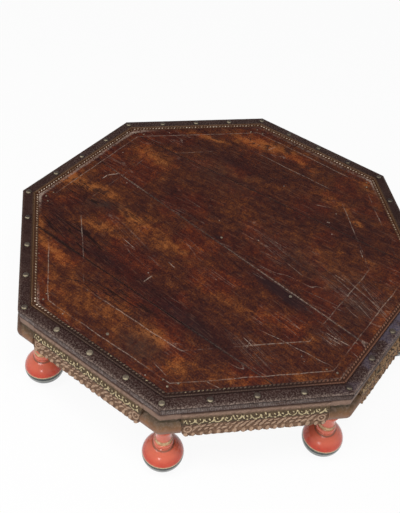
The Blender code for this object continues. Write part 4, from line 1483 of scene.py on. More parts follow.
@dataclass
class IronRim:
    """Straps, dome nails and fluted bands round the top.

    Attributes:
        edge: Middle of the table to the outer edge.
        inner: Middle of the table to the inner edge of the straps.
        low: Underside of the straps.
        high: Upper face of the straps.
        lip: Width of the straps' outer lip, and how far it falls.
        hammer: Depth and length of each kind of hammer mark.
        nail_inset: Outer edge to the row of nails.
        lap: Corner nail to the joint between two straps.
        nails: Nails between two corners.
        nail_radius: Radius of a nail's head.
        nail_height: Height of a nail's head.
        nail_foot: How far the head's edge stands above the strap, and how deep it goes.
        nail_scatter: How far a nail may stand out of its row.
        nail_dents: Depth and length of the dents in a head.
        glint_from: The way that the painted highlight crescent of a nail faces.
        band_back: Middle of the table to the flat back of the bands.
        band_low: Lower edge of the bands.
        band_high: Upper edge of the bands.
        band_flat: Straight part of the bands' section.
        band_bead: Projection of the bead along the lower edge, its height above that edge, and its width.
        band_waver: How far the flutes stray sideways, and over what length.
        band_uneven: Depth and length of the bands' unevenness.
        flute: Width and depth of one flute.
    """

    edge: float = SIZES.rim
    inner: float = SIZES.strip_outer + GAP
    low: float = SIZES.metal_low
    high: float = SIZES.metal_low + 0.0012
    lip: Pair = (0.006, 0.0006)
    hammer: Tuple[Pair, ...] = ((0.00012, 0.022), (0.00006, 0.008))
    nail_inset: float = 0.0095
    lap: float = 0.009
    nails: int = 3
    nail_radius: float = 0.0047
    nail_height: float = 0.0025
    nail_foot: Pair = (0.0003, 0.0004)
    nail_scatter: float = 0.0006
    nail_dents: Pair = (0.00018, 0.004)
    glint_from: Pair = (-0.25, -0.97)
    band_back: float = SIZES.band_back
    band_low: float = SIZES.band_low
    band_high: float = SIZES.band_high
    band_flat: float = 0.0006
    band_bead: Triple = (0.0005, 0.0012, 0.0008)
    band_waver: Pair = (0.0004, 0.03)
    band_uneven: Pair = (0.00012, 0.02)
    flute: Pair = (0.0023, 0.00035)

    def strap(self, seed: int) -> Shape:
        """A strap carried along the front side and round the corner at its far end.

        The section's upper face falls along the outer lip by the square of the share of the lip's width.
        Rings stand square to the side, and the ring at the corner lies on the mitre, x = a tan.

        Args:
            seed: Start of the random draws for hammer marks.

        Returns:
            The closed strap.
        """
        falls = np.array([0, 0.1, 0.4, 1.0, 1.8, 2.8, 4.0, 5.5, 7.5, 10.0, 12.5, 14.5]) / 1000
        ease = np.array([1.2, 0.5, 0.1, 0]) / 1000
        a = np.concatenate([[self.inner, self.edge - GAP], self.edge - falls, self.inner + ease])
        share = np.clip((a - self.edge + self.lip[0]) / self.lip[0], 0, 1)
        z = self.high - self.lip[1] * share**2
        z[:2] = self.low
        z[2:6] -= np.array([0.4, 0.2, 0.08, 0.02]) / 1000
        z[-4:] -= np.array([0.0, 0.1, 0.3, 0.6]) / 1000
        start = self.lap - (self.edge - self.nail_inset) * MITRE
        turn = self.inner * MITRE - 0.003
        runs = [np.linspace(start + GAP / 2, turn, 70), np.array([-turn, start - GAP / 2])]
        front, far = [np.stack(np.broadcast_arrays(run[:, None], -a), -1) for run in runs]
        corner = np.stack([a * MITRE, -a], -1)[None]
        plan = np.concatenate([front, corner, turned_points(far, 1)])
        x, y = plan[..., 0], plan[..., 1]
        upper = np.ones(len(a))
        upper[[0, 1, 2, -1]] = 0
        kinds = enumerate(self.hammer)
        marks = sum(depth * ripple(x, y, length, seed + 50 * i) for i, (depth, length) in kinds)
        rings = np.stack([x, y, z + marks * upper], -1)
        # lip marks the outer lip, painted pale as wear and highlight; edge marks the inner edge, painted as
        # shade in front.
        lip, edge = bump(a, self.edge - 0.0010, 0.0017), bump(a, self.inner, 0.0010)
        lip[:2] = 0
        out = (a - self.inner) / (self.edge - self.inner)
        return tube(rings, {"lip": lip[None], "edge": edge[None], "out": out[None]})

    def nail_row(self, side: Side) -> Shape:
        """The nails of one strap, as low domes with a small foot, each set a little out of true.

        A crescent on the flank that faces the front left is a painted highlight: a bell of the radius, times a
        soft step of the distance towards that direction.

        Args:
            side: Which side, for the random draws and the crescents.

        Returns:
            All nails of the strap, lying on the front side.
        """
        seed = 20 + side.value
        rng = np.random.default_rng(seed)
        r, h = self.nail_radius, self.nail_height
        foot, deep = self.nail_foot
        dome = curve((0, foot), (r * 0.94, h), 90, 8, 9)
        one = turning(np.concatenate([dome, [[r, foot], [r, -deep], [0, -deep]]]), 28)
        rise = np.clip(one.points[:, 2] / h, 0, 1)
        plan = one.points[:, :2] / r
        toward = plan @ turned_points(np.array(self.glint_from), -side.value)
        glint = bump(np.hypot(plan[:, 0], plan[:, 1]), 0.76, 0.18) * soft_step(toward, 0.25, 0.70)
        line = self.edge - self.nail_inset
        count = self.nails + 1
        along = (2 * np.arange(1, count + 1) / count - 1) * line * MITRE
        scatter = rng.uniform(-self.nail_scatter, self.nail_scatter, (count, 2))
        places = np.stack([along, np.full(count, -line)], -1) + scatter
        points = one.points[None] * rng.uniform(0.92, 1.04, (count, 1, 1))
        lean = rng.uniform(-0.05, 0.05, (count, 1, 2))
        depth, length = self.nail_dents
        dents = depth * np.abs(ripple(points[..., 0], points[..., 1], length, seed)) * rise
        points[..., 2] += (points[..., :2] * lean).sum(-1) - dents + self.high
        points[..., :2] += places[:, None]
        tones = rng.uniform(0.0, 0.3, (count, 1)) + 0.5 * (side is Side.FRONT_LEFT)
        return one.repeated(points, {"top": rise, "tone": tones, "glint": glint})

    def band(self, seed: int) -> Shape:
        """A half-round band with upright flutes, mitred at both ends.

        Its section is a half ellipse with a bead at its lower edge; the flutes cut in by their depth times
        (1 - |sin|) along its length, fading towards both edges. Rings at s from -1 to 1 lie at x = s a tan.

        Args:
            seed: Start of the random draws for the unevenness.

        Returns:
            The closed band.
        """
        middle, half = (self.band_low + self.band_high) / 2, (self.band_high - self.band_low) / 2
        radii = (self.edge - self.band_back - self.band_flat, half)
        face = curve((self.band_back + self.band_flat, middle), radii, -90, 90, 14)
        bead, bead_high = self.band_bead, self.band_low + self.band_bead[1]
        face[:, 0] += bead[0] * bump(face[:, 1], bead_high, bead[2])
        section = np.concatenate([[[self.band_back, self.band_high], [self.band_back, self.band_low]], face])
        s = np.linspace(-1, 1, int(2 * self.edge * MITRE / self.flute[0] * 5))
        a, z = section[:, 0], section[:, 1]
        run = s[:, None] * (a * MITRE - GAP)
        waver = self.band_waver[0] * ripple(run, 0 * run, self.band_waver[1], seed)
        wave = np.abs(np.sin(math.pi * (run + waver) / self.flute[0]))
        fade = np.clip(1 - ((z - middle) / (half * 0.9)) ** 2, 0, 1)
        fade[:2] = 0
        depth, length = self.band_uneven
        uneven = depth * ripple(run, z + 0 * run, length, seed + 9) * (fade > 0)
        out = a - self.flute[1] * (1 - wave) * fade + uneven
        rings = np.stack([run, -out, z + 0 * run], -1)
        # lip marks the bead's lower lip and edge the creases at both edges, where the finish paints highlight
        # and shade.
        lip = bump(z, bead_high, 0.0010)
        lip[:2] = 0
        edge = np.maximum(bump(z, self.band_high, 0.0016), 0.8 * bump(z, self.band_low, 0.0004))
        return tube(rings, {"flute": wave * fade, "lip": lip[None], "edge": edge[None]})

    def build(self, iron: Material, band_iron: Material, nail: Material) -> None:
        """Makes the rim.

        Args:
            iron: Finish of the straps.
            band_iron: Finish of the bands.
            nail: Finish of the nails.
        """
        for side in Side:
            turns, label = side.value, side.label
            strap = make_piece(f"iron_strap_{label}", self.strap(turns).turned(turns), iron)
            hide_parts(f"strap_{label}")
            make_piece(f"dome_nails_{label}", self.nail_row(side).turned(turns), nail, 50)
            shape = self.band(30 + turns).turned(turns)
            band = make_piece(f"fluted_band_{label}", shape, band_iron)
            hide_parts(f"edge_band_{label}")


@dataclass
class BeadedStrips:
    """Strips with a notched ridge and a row of slanted beads.

    Attributes:
        outer: Middle of the table to the outer edge of a strip.
        inner: Middle of the table to its inner edge.
        base: Height of its underside.
        floor: Thickness between the ridge and the beads.
        ridge_width: Width of the ridge.
        ridge_height: Height of the ridge above the floor.
        notch: Step and depth of the notches in the ridge.
        bead_line: Inner edge to the row of beads.
        beads: Number of beads along one side.
        bead: Half length, half width and height of a bead.
        slant: Slant of the beads, in degrees.
    """

    outer: float = SIZES.strip_outer
    inner: float = SIZES.strip_inner
    base: float = SIZES.metal_low
    floor: float = 0.0006
    ridge_width: float = 0.0026
    ridge_height: float = 0.0015
    notch: Pair = (0.0029, 0.00025)
    bead_line: float = 0.0022
    beads: int = 42
    bead: Triple = (0.0025, 0.0015, 0.0018)
    slant: float = 28.0

    def rail(self) -> Shape:
        """The strip under the beads: a rounded ridge and a flat floor, mitred at both ends.

        The ridge rises as a half ellipse, notched by a depth times (1 - |sin|) along the strip.

        Returns:
            The closed rail.
        """
        level, half = self.base + self.floor, self.ridge_width / 2
        ridge = curve((self.outer - half, level), (half, self.ridge_height), 0, 180, 8)
        ends = [[self.inner + 0.0002, level], [self.inner, level - 0.0002]]
        section = np.concatenate([[[self.inner, self.base], [self.outer, self.base]], ridge, ends])
        a, z = section[:, 0], section[:, 1]
        run = np.linspace(-1, 1, 400)[:, None] * (a * MITRE - GAP)
        crest = np.clip((z - level) / self.ridge_height, 0, 1)
        notch = 1 - np.abs(np.sin(math.pi * run / self.notch[0]))
        rings = np.stack([run, 0 * run - a, z - self.notch[1] * notch * crest], -1)
        return tube(rings, {"top": crest * (1 - 0.5 * notch) * 0.7, "bead": 0 * run})

    def bead_row(self) -> Shape:
        """Beads as half ellipsoids, turned in plan by the slant.

        Returns:
            All beads of one side.
        """
        dome = turning(np.concatenate([curve((0, 0), (1, 1), 90, 0, 4), [[1.0, -0.2], [0.0, -0.2]]]), 10)
        line = self.inner + self.bead_line
        places = ((np.arange(self.beads) + 0.5) / self.beads * 2 - 1) * (line * MITRE - 0.001)
        local = turned_points(dome.points * self.bead, self.slant / 45)
        size = np.random.default_rng(3).uniform(0.9, 1.05, self.beads)
        sets = np.stack([places, 0 * places - line, 0 * places + self.base + self.floor], -1)
        points = local[None] * size[:, None, None] + sets[:, None]
        return dome.repeated(points, {"top": np.clip(dome.points[:, 2], 0, 1), "bead": np.ones(1)})

    def build(self, brass: Material) -> None:
        """Makes the strips.

        Args:
            brass: Their finish.
        """
        whole = self.rail().joined(self.bead_row())
        for side in Side:
            piece = make_piece(f"beaded_strip_{side.label}", whole.turned(side.value), brass, 55)
            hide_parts(f"bead_strip_{side.label}")


class Paintwork(Enum):
    """Which paint a stroke of the carving carries."""

    GOLD = "gold"
    LEAF = "leaf"


@dataclass(frozen=True)
class Stroke:
    """A carved stroke that repeats along an apron: a bent oval dome.

    Attributes:
        paint: Its paint.
        count: Strokes along the apron.
        shift: Place in its share of the length, in metres.
        drop: The frame's upper edge to the stroke's middle.
        length: Half length.
        width: Half width.
        lean: Direction, in degrees from level.
        bend: How far its ends curl, as a share of the half length.
        relief: How far it stands out.
        jitter: How far each stroke is set out of true.
    """

    paint: Paintwork
    count: int
    shift: float
    drop: float
    length: float
    width: float
    lean: float
    bend: float = 0.0
    relief: float = 0.0012
    jitter: float = 1.0

    def dome(self, x: Array, drop: Array, half: float, seed: int) -> Array:
        """Heights from 0 to 1: sqrt(1 - (u / length)^2 - (v / width)^2), with v less a bend of u squared.

        Args:
            x: Place along the apron.
            drop: Depth below the frame's upper edge.
            half: Half the apron's length.
            seed: Start of the random draws that set each stroke a little out of true.

        Returns:
            One number per point.
        """
        pitch = 2 * half / self.count
        cell = np.clip(((x + half) / pitch).astype(int), 0, self.count - 1)
        total = np.zeros(np.broadcast(x, drop).shape)
        rng = np.random.default_rng(seed)
        moved = self.jitter * rng.uniform(-0.0005, 0.0005, (2, self.count + 2))
        leant = np.radians(self.lean + self.jitter * rng.uniform(-9, 9, self.count + 2))
        size = 1 + self.jitter * rng.uniform(-0.12, 0.12, self.count + 2)
        for step in (-1, 0, 1):
            n = np.clip(cell + step, -1, self.count) + 1
            a = x - ((n - 0.5) * pitch - half) - self.shift - moved[0, n]
            b = self.drop - drop - moved[1, n]
            c, s = np.cos(leant[n]), np.sin(leant[n])
            u, v = (a * c + b * s) / (self.length * size[n]), b * c - a * s
            v = (v - self.bend * self.length * (u * u - 0.4)) / (self.width * size[n])
            total = np.maximum(total, np.sqrt(np.clip(1 - u * u - v * v, 0, 1)))
        return total


STROKES = (
    Stroke(Paintwork.GOLD, 16, -0.0030, 0.0150, 0.0036, 0.0011, 62, 0.70, 0.0012, 2.2),
    Stroke(Paintwork.GOLD, 16, 0.0014, 0.0152, 0.0034, 0.0011, 118, -0.70, 0.0012, 2.2),
    Stroke(Paintwork.GOLD, 16, -0.0008, 0.0123, 0.0012, 0.0011, 0, 0.0, 0.0012, 2.2),
    Stroke(Paintwork.GOLD, 16, 0.0050, 0.0182, 0.0020, 0.0010, 24, 0.3, 0.0012, 2.2),
    Stroke(Paintwork.GOLD, 16, 0.0046, 0.0126, 0.0018, 0.0010, -42, -0.3, 0.0012, 2.2),
    Stroke(Paintwork.GOLD, 16, -0.0056, 0.0180, 0.0014, 0.0010, -20, 0.0, 0.0012, 2.2),
    Stroke(Paintwork.LEAF, 24, 0.0, 0.0256, 0.0049, 0.0018, 38, 0.15, 0.0013, 1.8),
    Stroke(Paintwork.LEAF, 24, 0.0038, 0.0316, 0.0049, 0.0018, 36, -0.15, 0.0013, 1.8),
    Stroke(Paintwork.LEAF, 18, 0.0, 0.0384, 0.0036, 0.0028, 62, 0.0, 0.0011, 1.5),
)


@dataclass
class CarvedFrame:
    """Carved aprons and moulded corner posts.

    Attributes:
        thickness: Thickness of the aprons.
        back: Middle of the table to the back of the aprons.
        top: Upper edge.
        low: Lower edge of the aprons.
        post_end: Middle of a side to the end of a post.
        post_low: Underside of the posts.
        fillet: Height of the plain fillet.
        garland: Height of the rounded flower band.
        garland_out: How far the flower band stands out.
        groove: Depth and height of the groove under it.
        leaf_out: How far the leaf band's lower edge stands out.
        leaf_hollow: Depth of the leaf band's hollow.
        lobes: Number of scallops along the lower edge.
        lobe_depth: Depth of the scallops.
        end_round: Radius of the aprons' lower corners.
        scroll: Inset of the scroll at each end, radius and half width of its ring, and radius of its eye.
        scroll_room: Where other strokes begin round the scroll.
        scroll_relief: How far the scroll stands out.
        grid: Columns of an apron, and rows of its fillet, flower band and leaf band.
        post_depth: Depth of the posts behind the face.
        post_fillet: Height of the posts' fillet.
        cove: Height and depth of the posts' hollow.
        roll_out: How far the posts' roll stands out.
        corner_round: Radius of the posts' corner at the face.
    """

    thickness: float = 0.018
    back: float = SIZES.apron_back
    top: float = SIZES.frame_top
    low: float = SIZES.apron_low
    post_end: float = SIZES.post_end
    post_low: float = SIZES.post_low
    fillet: float = 0.0100
    garland: float = 0.0110
    garland_out: float = 0.0040
    groove: Pair = (0.0012, 0.0008)
    leaf_out: float = 0.0076
    leaf_hollow: float = 0.0012
    lobes: int = 18
    lobe_depth: float = 0.0020
    end_round: float = 0.0090
    scroll: Tuple[float, float, float, float] = (0.0085, 0.0048, 0.0013, 0.0016)
    scroll_room: Pair = (0.0058, 0.0072)
    scroll_relief: float = 0.0012
    grid: Tuple[int, int, int, int] = (460, 6, 27, 46)
    post_depth: float = 0.040
    post_fillet: float = 0.0116
    cove: Pair = (0.0085, 0.0026)
    roll_out: float = 0.0063
    corner_round: float = 0.0035

    @property
    def face(self) -> float:
        """Middle of the table to the plain face."""
        return self.back + self.thickness

    @property
    def levels(self) -> Triple:
        """Upper and lower edge of the flower band, and upper edge of the leaf band."""
        high = self.top - self.fillet
        return high, high - self.garland, high - self.garland - self.groove[1]

    def lower_edge(self, x: Array, half: float) -> Array:
        """Height of an apron's lower edge: scallops of half ellipses, with a quarter circle at each end.

        Args:
            x: Place along the apron.
            half: Half its length.

        Returns:
            One height per place.
        """
        start = half - self.end_round
        inside = ((x + start) * self.lobes / start) % 2 - 1
        wavy = self.low + self.lobe_depth * (1 - np.sqrt(np.clip(1 - inside**2, 0, 1)))
        past = np.clip(np.abs(x) - start, 0, self.end_round)
        quarter = self.low + self.end_round - np.sqrt(np.clip(self.end_round**2 - past**2, 0, None))
        return np.where(np.abs(x) > start, quarter, wavy)

    def section(self, z: Array) -> Array:
        """How far an apron's plain form stands out at a height.

        The fillet is flush, the flower band is a quarter ellipse, and the leaf band flares evenly with a
        hollow that follows the sine of its share.

        Args:
            z: Heights.

        Returns:
            Distances from the middle of the table.
        """
        high, low, leaf = self.levels
        share = np.clip((high - z) / self.garland, 0, 1)
        band = self.garland_out * np.sqrt(np.clip(1 - (1 - share) ** 2, 0, 1))
        down = np.clip((leaf - z) / (leaf - self.low), 0, 1)
        first = self.garland_out - self.groove[0]
        flare = first + (self.leaf_out - first) * down - self.leaf_hollow * np.sin(math.pi * down)
        return self.face + np.where(z > low, band, flare)

    def apron(self, seed: int) -> Shape:
        """A carved apron: the plain section, with strokes standing out from it and a ring at each end.

        Column x and row t give the height: fixed for the fillet and the flower band, and from there shared
        out down to the scalloped edge. The face stands out by the section plus relief times dome.

        Args:
            seed: Start of the random draws.

        Returns:
            The closed apron with its values.
        """
        half = self.post_end - GAP
        high, low, leaf = self.levels
        columns, fillet_rows, band_rows, leaf_rows = self.grid
        x = np.linspace(-half, half, columns)[:, None]
        fillet, band = np.linspace(self.top, high, fillet_rows), np.linspace(high, low + 0.0001, band_rows)
        upper = np.concatenate([fillet[:-1], band])
        edge = np.minimum(self.lower_edge(x, half), leaf)
        lower = leaf + (edge - leaf) * np.linspace(0, 1, leaf_rows)
        z = np.concatenate([np.broadcast_to(upper, (len(x), len(upper))), lower], 1)
        masks = {kind: np.zeros_like(z) for kind in Paintwork}
        relief = np.zeros_like(z)
        ends = soft_step(half - np.abs(x), 0.0012, 0.0040)
        within = {
            Paintwork.GOLD: soft_step(z, low, low + 0.0008) * soft_step(z, high, high - 0.0006) * ends,
            Paintwork.LEAF: soft_step(z, leaf, leaf - 0.0010) * ends,
        }
        inset, ring, ring_half, eye = self.scroll
        away = np.hypot(np.abs(x) - half + inset, z - leaf + inset)
        scroll = np.maximum(bump(away, ring, ring_half), bump(away, 0.0, eye))
        for number, stroke in enumerate(STROKES):
            dome = stroke.dome(x + 0 * z, self.top - z, half, seed * 31 + number) * within[stroke.paint]
            dome = dome * soft_step(away, *self.scroll_room)
            masks[stroke.paint] = np.maximum(masks[stroke.paint], dome)
            relief = np.maximum(relief, stroke.relief * dome)
        masks[Paintwork.LEAF] = np.maximum(masks[Paintwork.LEAF], scroll * within[Paintwork.LEAF])
        relief = np.maximum(relief, self.scroll_relief * scroll * within[Paintwork.LEAF])
        out = self.section(z) + relief + 0.00015 * ripple(x + 0 * z, z, 0.012, seed + 70)
        out[:, 0] = self.face
        values = {kind.value: mask for kind, mask in masks.items()}
        values["garland"] = soft_step(z, low, low + 0.0005) * soft_step(z, high + 0.0004, high - 0.0004)
        values["field"] = soft_step(z, leaf + 0.0008, leaf)
        values["groove"] = bump(z, low - self.groove[1] / 2, 0.0010)
        values = {name: np.pad(value, ((0, 0), (0, 2))) for name, value in values.items()}
        values["field"][:, -2:] = 1
        ring_out = np.pad(out, ((0, 0), (0, 2)), constant_values=self.back)
        ring_z = np.concatenate([z, z[:, -1:], np.full_like(x, self.top)], 1)
        return tube(np.stack([np.broadcast_to(x, ring_z.shape), -ring_out, ring_z], -1), values)

    def post(self) -> Shape:
        """A moulded post carried round the corner of the front side.

        The section is a fillet, a half-ellipse hollow and a half-ellipse roll. It runs straight along each
        side, and at the corner turns about a point behind the face, so that offset and arc radius add up.

        Returns:
            The closed post.
        """
        cove_top = self.top - self.post_fillet
        roll_top = cove_top - self.cove[0]
        roll_half = (roll_top - self.post_low) / 2
        hollow = curve((0, cove_top - self.cove[0] / 2), (-self.cove[1], self.cove[0] / 2), 90, -90, 10)
        roll = curve((0, roll_top - roll_half), (self.roll_out, roll_half), 90, -90, 20)
        section = np.concatenate([[[0.0, self.top], [0.0, self.top - 0.004]], hollow, roll[1:]])
        off, z = section[:, 0], section[:, 1]
        inset = self.face - self.corner_round
        centre = np.array([inset * MITRE, -inset])
        angles = np.concatenate([[0, 0, 0], np.linspace(0, TURN, 9)[1:-1], [TURN, TURN, TURN]])
        outward = np.stack([np.sin(angles), -np.cos(angles)], -1)
        along = np.stack([np.cos(angles), np.sin(angles)], -1)
        leg = centre[0] - self.post_end
        run = np.concatenate([[-leg, -leg / 2, 0], np.zeros(7), [0, leg / 2, leg]])
        base = centre + along * run[:, None]
        plan = base[:, None] + outward[:, None] * (self.corner_round + off)[None, :, None]
        behind = self.post_depth - self.face
        first = np.array([self.post_end, behind])
        second = turned_points(np.array([-self.post_end, behind]), 1)
        inner = (first + (second - first) * np.linspace(0, 1, len(angles))[:, None])[:, None]
        plan = np.concatenate([plan, inner, inner], 1)
        height = np.broadcast_to(np.concatenate([z, [self.post_low, self.top]]), plan.shape[:2])
        return tube(np.concatenate([plan, height[..., None]], -1), {})

    def build(self, carving: Material, post_paint: Material) -> None:
        """Makes the frame.

        Args:
            carving: Finish of the aprons.
            post_paint: Finish of the posts.
        """
        post = self.post()
        for side in Side:
            turns, label = side.value, side.label
            shape = self.apron(turns + 1).turned(turns)
            apron = make_piece(f"carved_apron_{label}", shape, carving, 50)
            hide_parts(f"apron_{label}")
            piece = make_piece(f"moulded_post_{turns + 1}", post.turned(turns), post_paint)
            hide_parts(f"corner_post_{turns + 1}")


@dataclass
class TurnedFeet:
    """Turned feet under the posts.

    Attributes:
        axis: Axis of the foot at the right-hand end of the front side.
        top: Upper face of the shoulder.
        shoulder: Radius and height of the shoulder.
        shoulder_round: How far its rounded edge stands out.
        waist: Radius of the neck's hollows.
        ring: Radius, half height and height above the floor of the neck's ring.
        collar: Radius, upper and lower edge of the collar.
        bead: Height and projection of the bead under the collar.
        ball: Radius of the ball, and heights of its top, middle and base.
        ball_top: Radius where the ball begins.
        base: Radius of the base.
        spigot: Radius and shown height of the spigot above the shoulder.
        lines: Height and depth of each line cut round the ball.
        segments: Steps round a foot.
    """

    axis: Pair = SIZES.foot
    top: float = SIZES.post_low - GAP
    shoulder: Pair = (0.0160, 0.0055)
    shoulder_round: float = 0.0025
    waist: float = 0.0098
    ring: Triple = (0.0135, 0.0032, 0.0880)
    collar: Triple = (0.0118, 0.0665, 0.0600)
    bead: Pair = (0.0085, 0.0018)
    ball: Tuple[float, float, float, float] = (0.0292, 0.0490, 0.0262, 0.0040)
    ball_top: float = 0.0138
    base: float = 0.0150
    spigot: Pair = (0.0086, 0.010)
    lines: Tuple[Pair, ...] = ((0.0302, 0.0003), (0.0458, 0.00035), (0.0216, 0.0002))
    segments: int = 72

    def profile(self) -> Array:
        """Radius and height from the spigot down: arcs for the swellings, cubics for the hollows.

        Returns:
            One row per point.
        """
        r, high, middle, low = self.ball
        core = self.ring[0] - self.ring[1]
        t = np.linspace(0, 1, 14)

        def hollow(first: float, last: float, start: float, end: float) -> Array:
            """A neck that narrows to the waist between two radii and two heights."""
            radius = self.waist + (first - self.waist) * (1 - t) ** 3 + (last - self.waist) * t**3
            return np.stack([radius, start + (end - start) * t], -1)

        start, end = [math.degrees(math.acos(radius / r)) for radius in (self.ball_top, self.base)]
        rise = (high - middle) / math.sin(math.radians(start))
        fall = (middle - low) / math.sin(math.radians(end))
        upper, lower = curve((0, middle), (r, rise), start, 0, 26), curve((0, middle), (r, fall), 0, -end, 20)
        ball = np.concatenate([upper, lower[1:]])
        for line, depth in self.lines:
            ball[:, 0] -= depth * bump(ball[:, 1], line, 0.0006)
        under = self.collar[2] - self.bead[0] / 2
        shoulder_low = self.top - self.shoulder[1]
        ring_high, ring_low = self.ring[2] + self.ring[1], self.ring[2] - self.ring[1]
        shoulder = (self.shoulder[0] - self.shoulder_round, self.top - self.shoulder[1] / 2)
        spigot, tip = self.spigot[0], self.top + self.spigot[1]
        parts = [
            [[0, tip], [spigot, tip], [spigot, self.top]],
            curve(shoulder, (self.shoulder_round, self.shoulder[1] / 2), 90, -90, 8),
            hollow(self.shoulder[0] - 0.003, core, shoulder_low, ring_high),
            curve((core, self.ring[2]), (self.ring[1], self.ring[1]), 80, -80, 10),
            hollow(core, self.collar[0] - 0.0006, ring_low, self.collar[1]),
            [[self.collar[0] - 0.0002, self.collar[1]], [self.collar[0], self.collar[1] - 0.0004]],
            [[self.collar[0], self.collar[2] + 0.0003]],
            curve((self.collar[0] - GAP, under), (self.bead[1] + GAP, self.bead[0] / 2), 85, -85, 12),
            ball,
            [[self.base, 0.0004], [self.base - 0.0005, 0], [0, 0]],
        ]
        return np.concatenate([np.asarray(part, float) for part in parts])

    def foot(self) -> Shape:
        """The foot under the corner at the right-hand end of the front side."""
        shape = turning(self.profile(), self.segments)
        return Shape(shape.points + [*self.axis, 0], shape.quads)

    def build(self, lacquer: Material) -> None:
        """Makes the feet.

        Args:
            lacquer: Their finish.
        """
        foot = self.foot()
        for number in range(len(Side)):
            piece = make_piece(f"lacquered_foot_{number + 1}", foot.turned(number), lacquer, 50)
            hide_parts(f"foot_{number + 1}")


# Stage


@dataclass(frozen=True)
class Lamp:
    """A soft square lamp.

    Attributes:
        name: Its name.
        place: Where it hangs.
        size: Length of its side.
        power: Its power, in watts.
    """

    name: str
    place: Triple
    size: float
    power: float

    def build(self, target: Vector) -> None:
        """Hangs the lamp.

        Args:
            target: The point that it faces.
        """
        data = bpy.data.lights.new(self.name, "AREA")
        data.size = self.size
        data.energy = self.power
        lamp = bpy.data.objects.new(self.name, data)
        lamp.location = self.place
        lamp.rotation_euler = (target - lamp.location).to_track_quat("-Z", "Y").to_euler()
        bpy.context.scene.collection.objects.link(lamp)


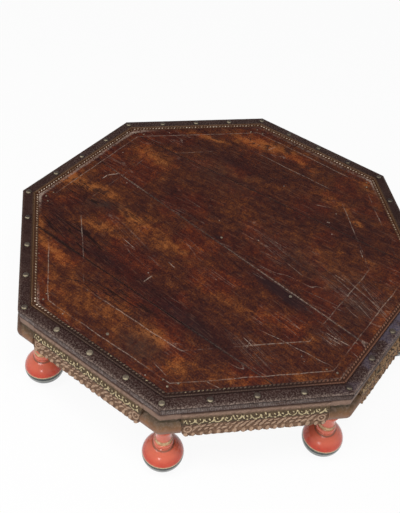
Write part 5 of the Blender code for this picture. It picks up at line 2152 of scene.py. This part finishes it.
@dataclass
class Studio:
    """Pale floor, soft light and the camera.

    Attributes:
        camera_place: Where the camera stands.
        camera_forward: The way that it looks.
        camera_roll: How far it leans over, in degrees.
        lens: Focal length on a frame of 36 mm, in millimetres.
        floor_half: Half the side of the floor.
        floor_drop: How far it lies below the feet.
        floor_glow: Share of the floor that shows white to the camera, the rest being lit.
        lamp_target: The point that the lamps face.
        lamps: The lamps.
    """

    camera_place: Triple = (-0.1915, -0.78748, 0.94009)
    camera_forward: Triple = (0.14071, 0.68700, -0.71290)
    camera_roll: float = 5.176
    lens: float = 51.419
    floor_half: float = 6.0
    floor_drop: float = 0.0002
    floor_glow: float = 0.93
    lamp_target: Triple = (0.0, 0.0, 0.12)
    lamps: Tuple[Lamp, ...] = (
        Lamp("left_lamp", (-0.85, -0.47, 1.49), 0.45, 9.0),
        Lamp("front_lamp", (0.0, -0.63, 1.49), 0.45, 9.0),
        Lamp("low_lamp", (-0.71, -1.49, 0.73), 0.25, 3.0),
    )

    def camera(self) -> None:
        """Sets the camera from its place, direction and roll."""
        forward = Vector(self.camera_forward).normalized()
        level = forward.cross(Vector((0, 0, 1))).normalized()
        up = level.cross(forward)
        c, s = math.cos(math.radians(self.camera_roll)), math.sin(math.radians(self.camera_roll))
        axes = Matrix((level * c + up * s, up * c - level * s, -forward)).transposed()
        data = bpy.data.cameras.new("camera")
        data.lens = self.lens
        data.sensor_width = 36.0
        data.clip_end = 100.0
        camera = bpy.data.objects.new("camera", data)
        camera.matrix_world = Matrix.Translation(self.camera_place) @ axes.to_4x4()
        bpy.context.scene.collection.objects.link(camera)
        bpy.context.scene.camera = camera

    def floor(self) -> None:
        """Lays the floor, which shows near white, keeps the table's shadow and is open from below."""
        h = self.floor_half
        mesh = bpy.data.meshes.new("floor")
        mesh.from_pydata([(-h, -h, 0), (h, -h, 0), (h, h, 0), (-h, h, 0)], [], [(0, 1, 2, 3)])
        material = bpy.data.materials.new("pale_floor")
        material.use_nodes = True
        material.node_tree.nodes.clear()
        s = Sketch(material.node_tree)
        path = s.add("LightPath", {}).outputs
        seen = s.most(path["Is Camera Ray"], path["Is Glossy Ray"], path["Is Transmission Ray"])
        cover = s.add("BsdfDiffuse", {"Color": (0.86, 0.86, 0.86, 1.0)}).outputs[0]
        glow = s.add("Emission", {"Color": (1.0, 1.0, 1.0, 1.0), "Strength": 1.0}).outputs[0]
        both = s.add("MixShader", {0: s.times(seen, self.floor_glow), 1: cover, 2: glow}).outputs[0]
        below = s.add("NewGeometry", {}).outputs["Backfacing"]
        clear = s.add("BsdfTransparent", {}).outputs[0]
        s.add("OutputMaterial", {"Surface": s.add("MixShader", {0: below, 1: both, 2: clear}).outputs[0]})
        mesh.materials.append(material)
        floor = bpy.data.objects.new("floor", mesh)
        floor.location.z = -self.floor_drop
        bpy.context.scene.collection.objects.link(floor)

    def world(self) -> None:
        """Lights the room: white near the horizon, greyer overhead, and dim high up at the back."""
        world = bpy.data.worlds.new("studio")
        world.use_nodes = True
        bpy.context.scene.world = world
        tree = world.node_tree
        s = Sketch(tree)
        _, back, up = s.axes(s.add("TexCoord", {}).outputs["Generated"])
        colour = s.mix(s.rise(up, 0.05, 0.8), (1.0, 1.0, 1.0, 1.0), (0.34, 0.34, 0.35, 1.0))
        high_back = s.rise(s.times(s.plus(back, up), SLANT), 0.74, 0.95)
        colour = s.mix(high_back, colour, (0.10, 0.10, 0.105, 1.0))
        s.fill(tree.nodes["Background"], {"Color": colour, "Strength": 1.0})

    def build(self) -> None:
        """Sets up the whole studio."""
        self.camera()
        self.floor()
        self.world()
        for lamp in self.lamps:
            lamp.build(Vector(self.lamp_target))
        bpy.context.scene.view_settings.view_transform = "Standard"


def dress_inner_nodes() -> None:
    """Gives the solids that stay in sight their finish."""
    rough = PlainWood("batten_wood").material()
    inner = PlainWood("tongue_wood", dark="7a5233", pale="a87a4e").material()
    for name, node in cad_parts.items():
        if node.hide_render:
            continue
        node.data.materials.clear()
        node.data.materials.append(inner if name.startswith("loose_tongue") else rough)
        LOG.info("%s: solid kept", name)


def main() -> None:
    """Builds the studio and every sub-assembly in order."""
    logging.basicConfig(level=logging.INFO, format="%(name)s: %(message)s")
    Studio().build()
    EffectShelf().build()
    nail = NailIron().material()
    BoardedTop().build(BoardWood().material(), nail)
    IronRim().build(Iron().material(), BandIron().material(), nail)
    BeadedStrips().build(Brass().material())
    CarvedFrame().build(Carving().material(), PostPaint().material())
    TurnedFeet().build(Lacquer().material())
    dress_inner_nodes()


if __name__ == "__main__":
    main()
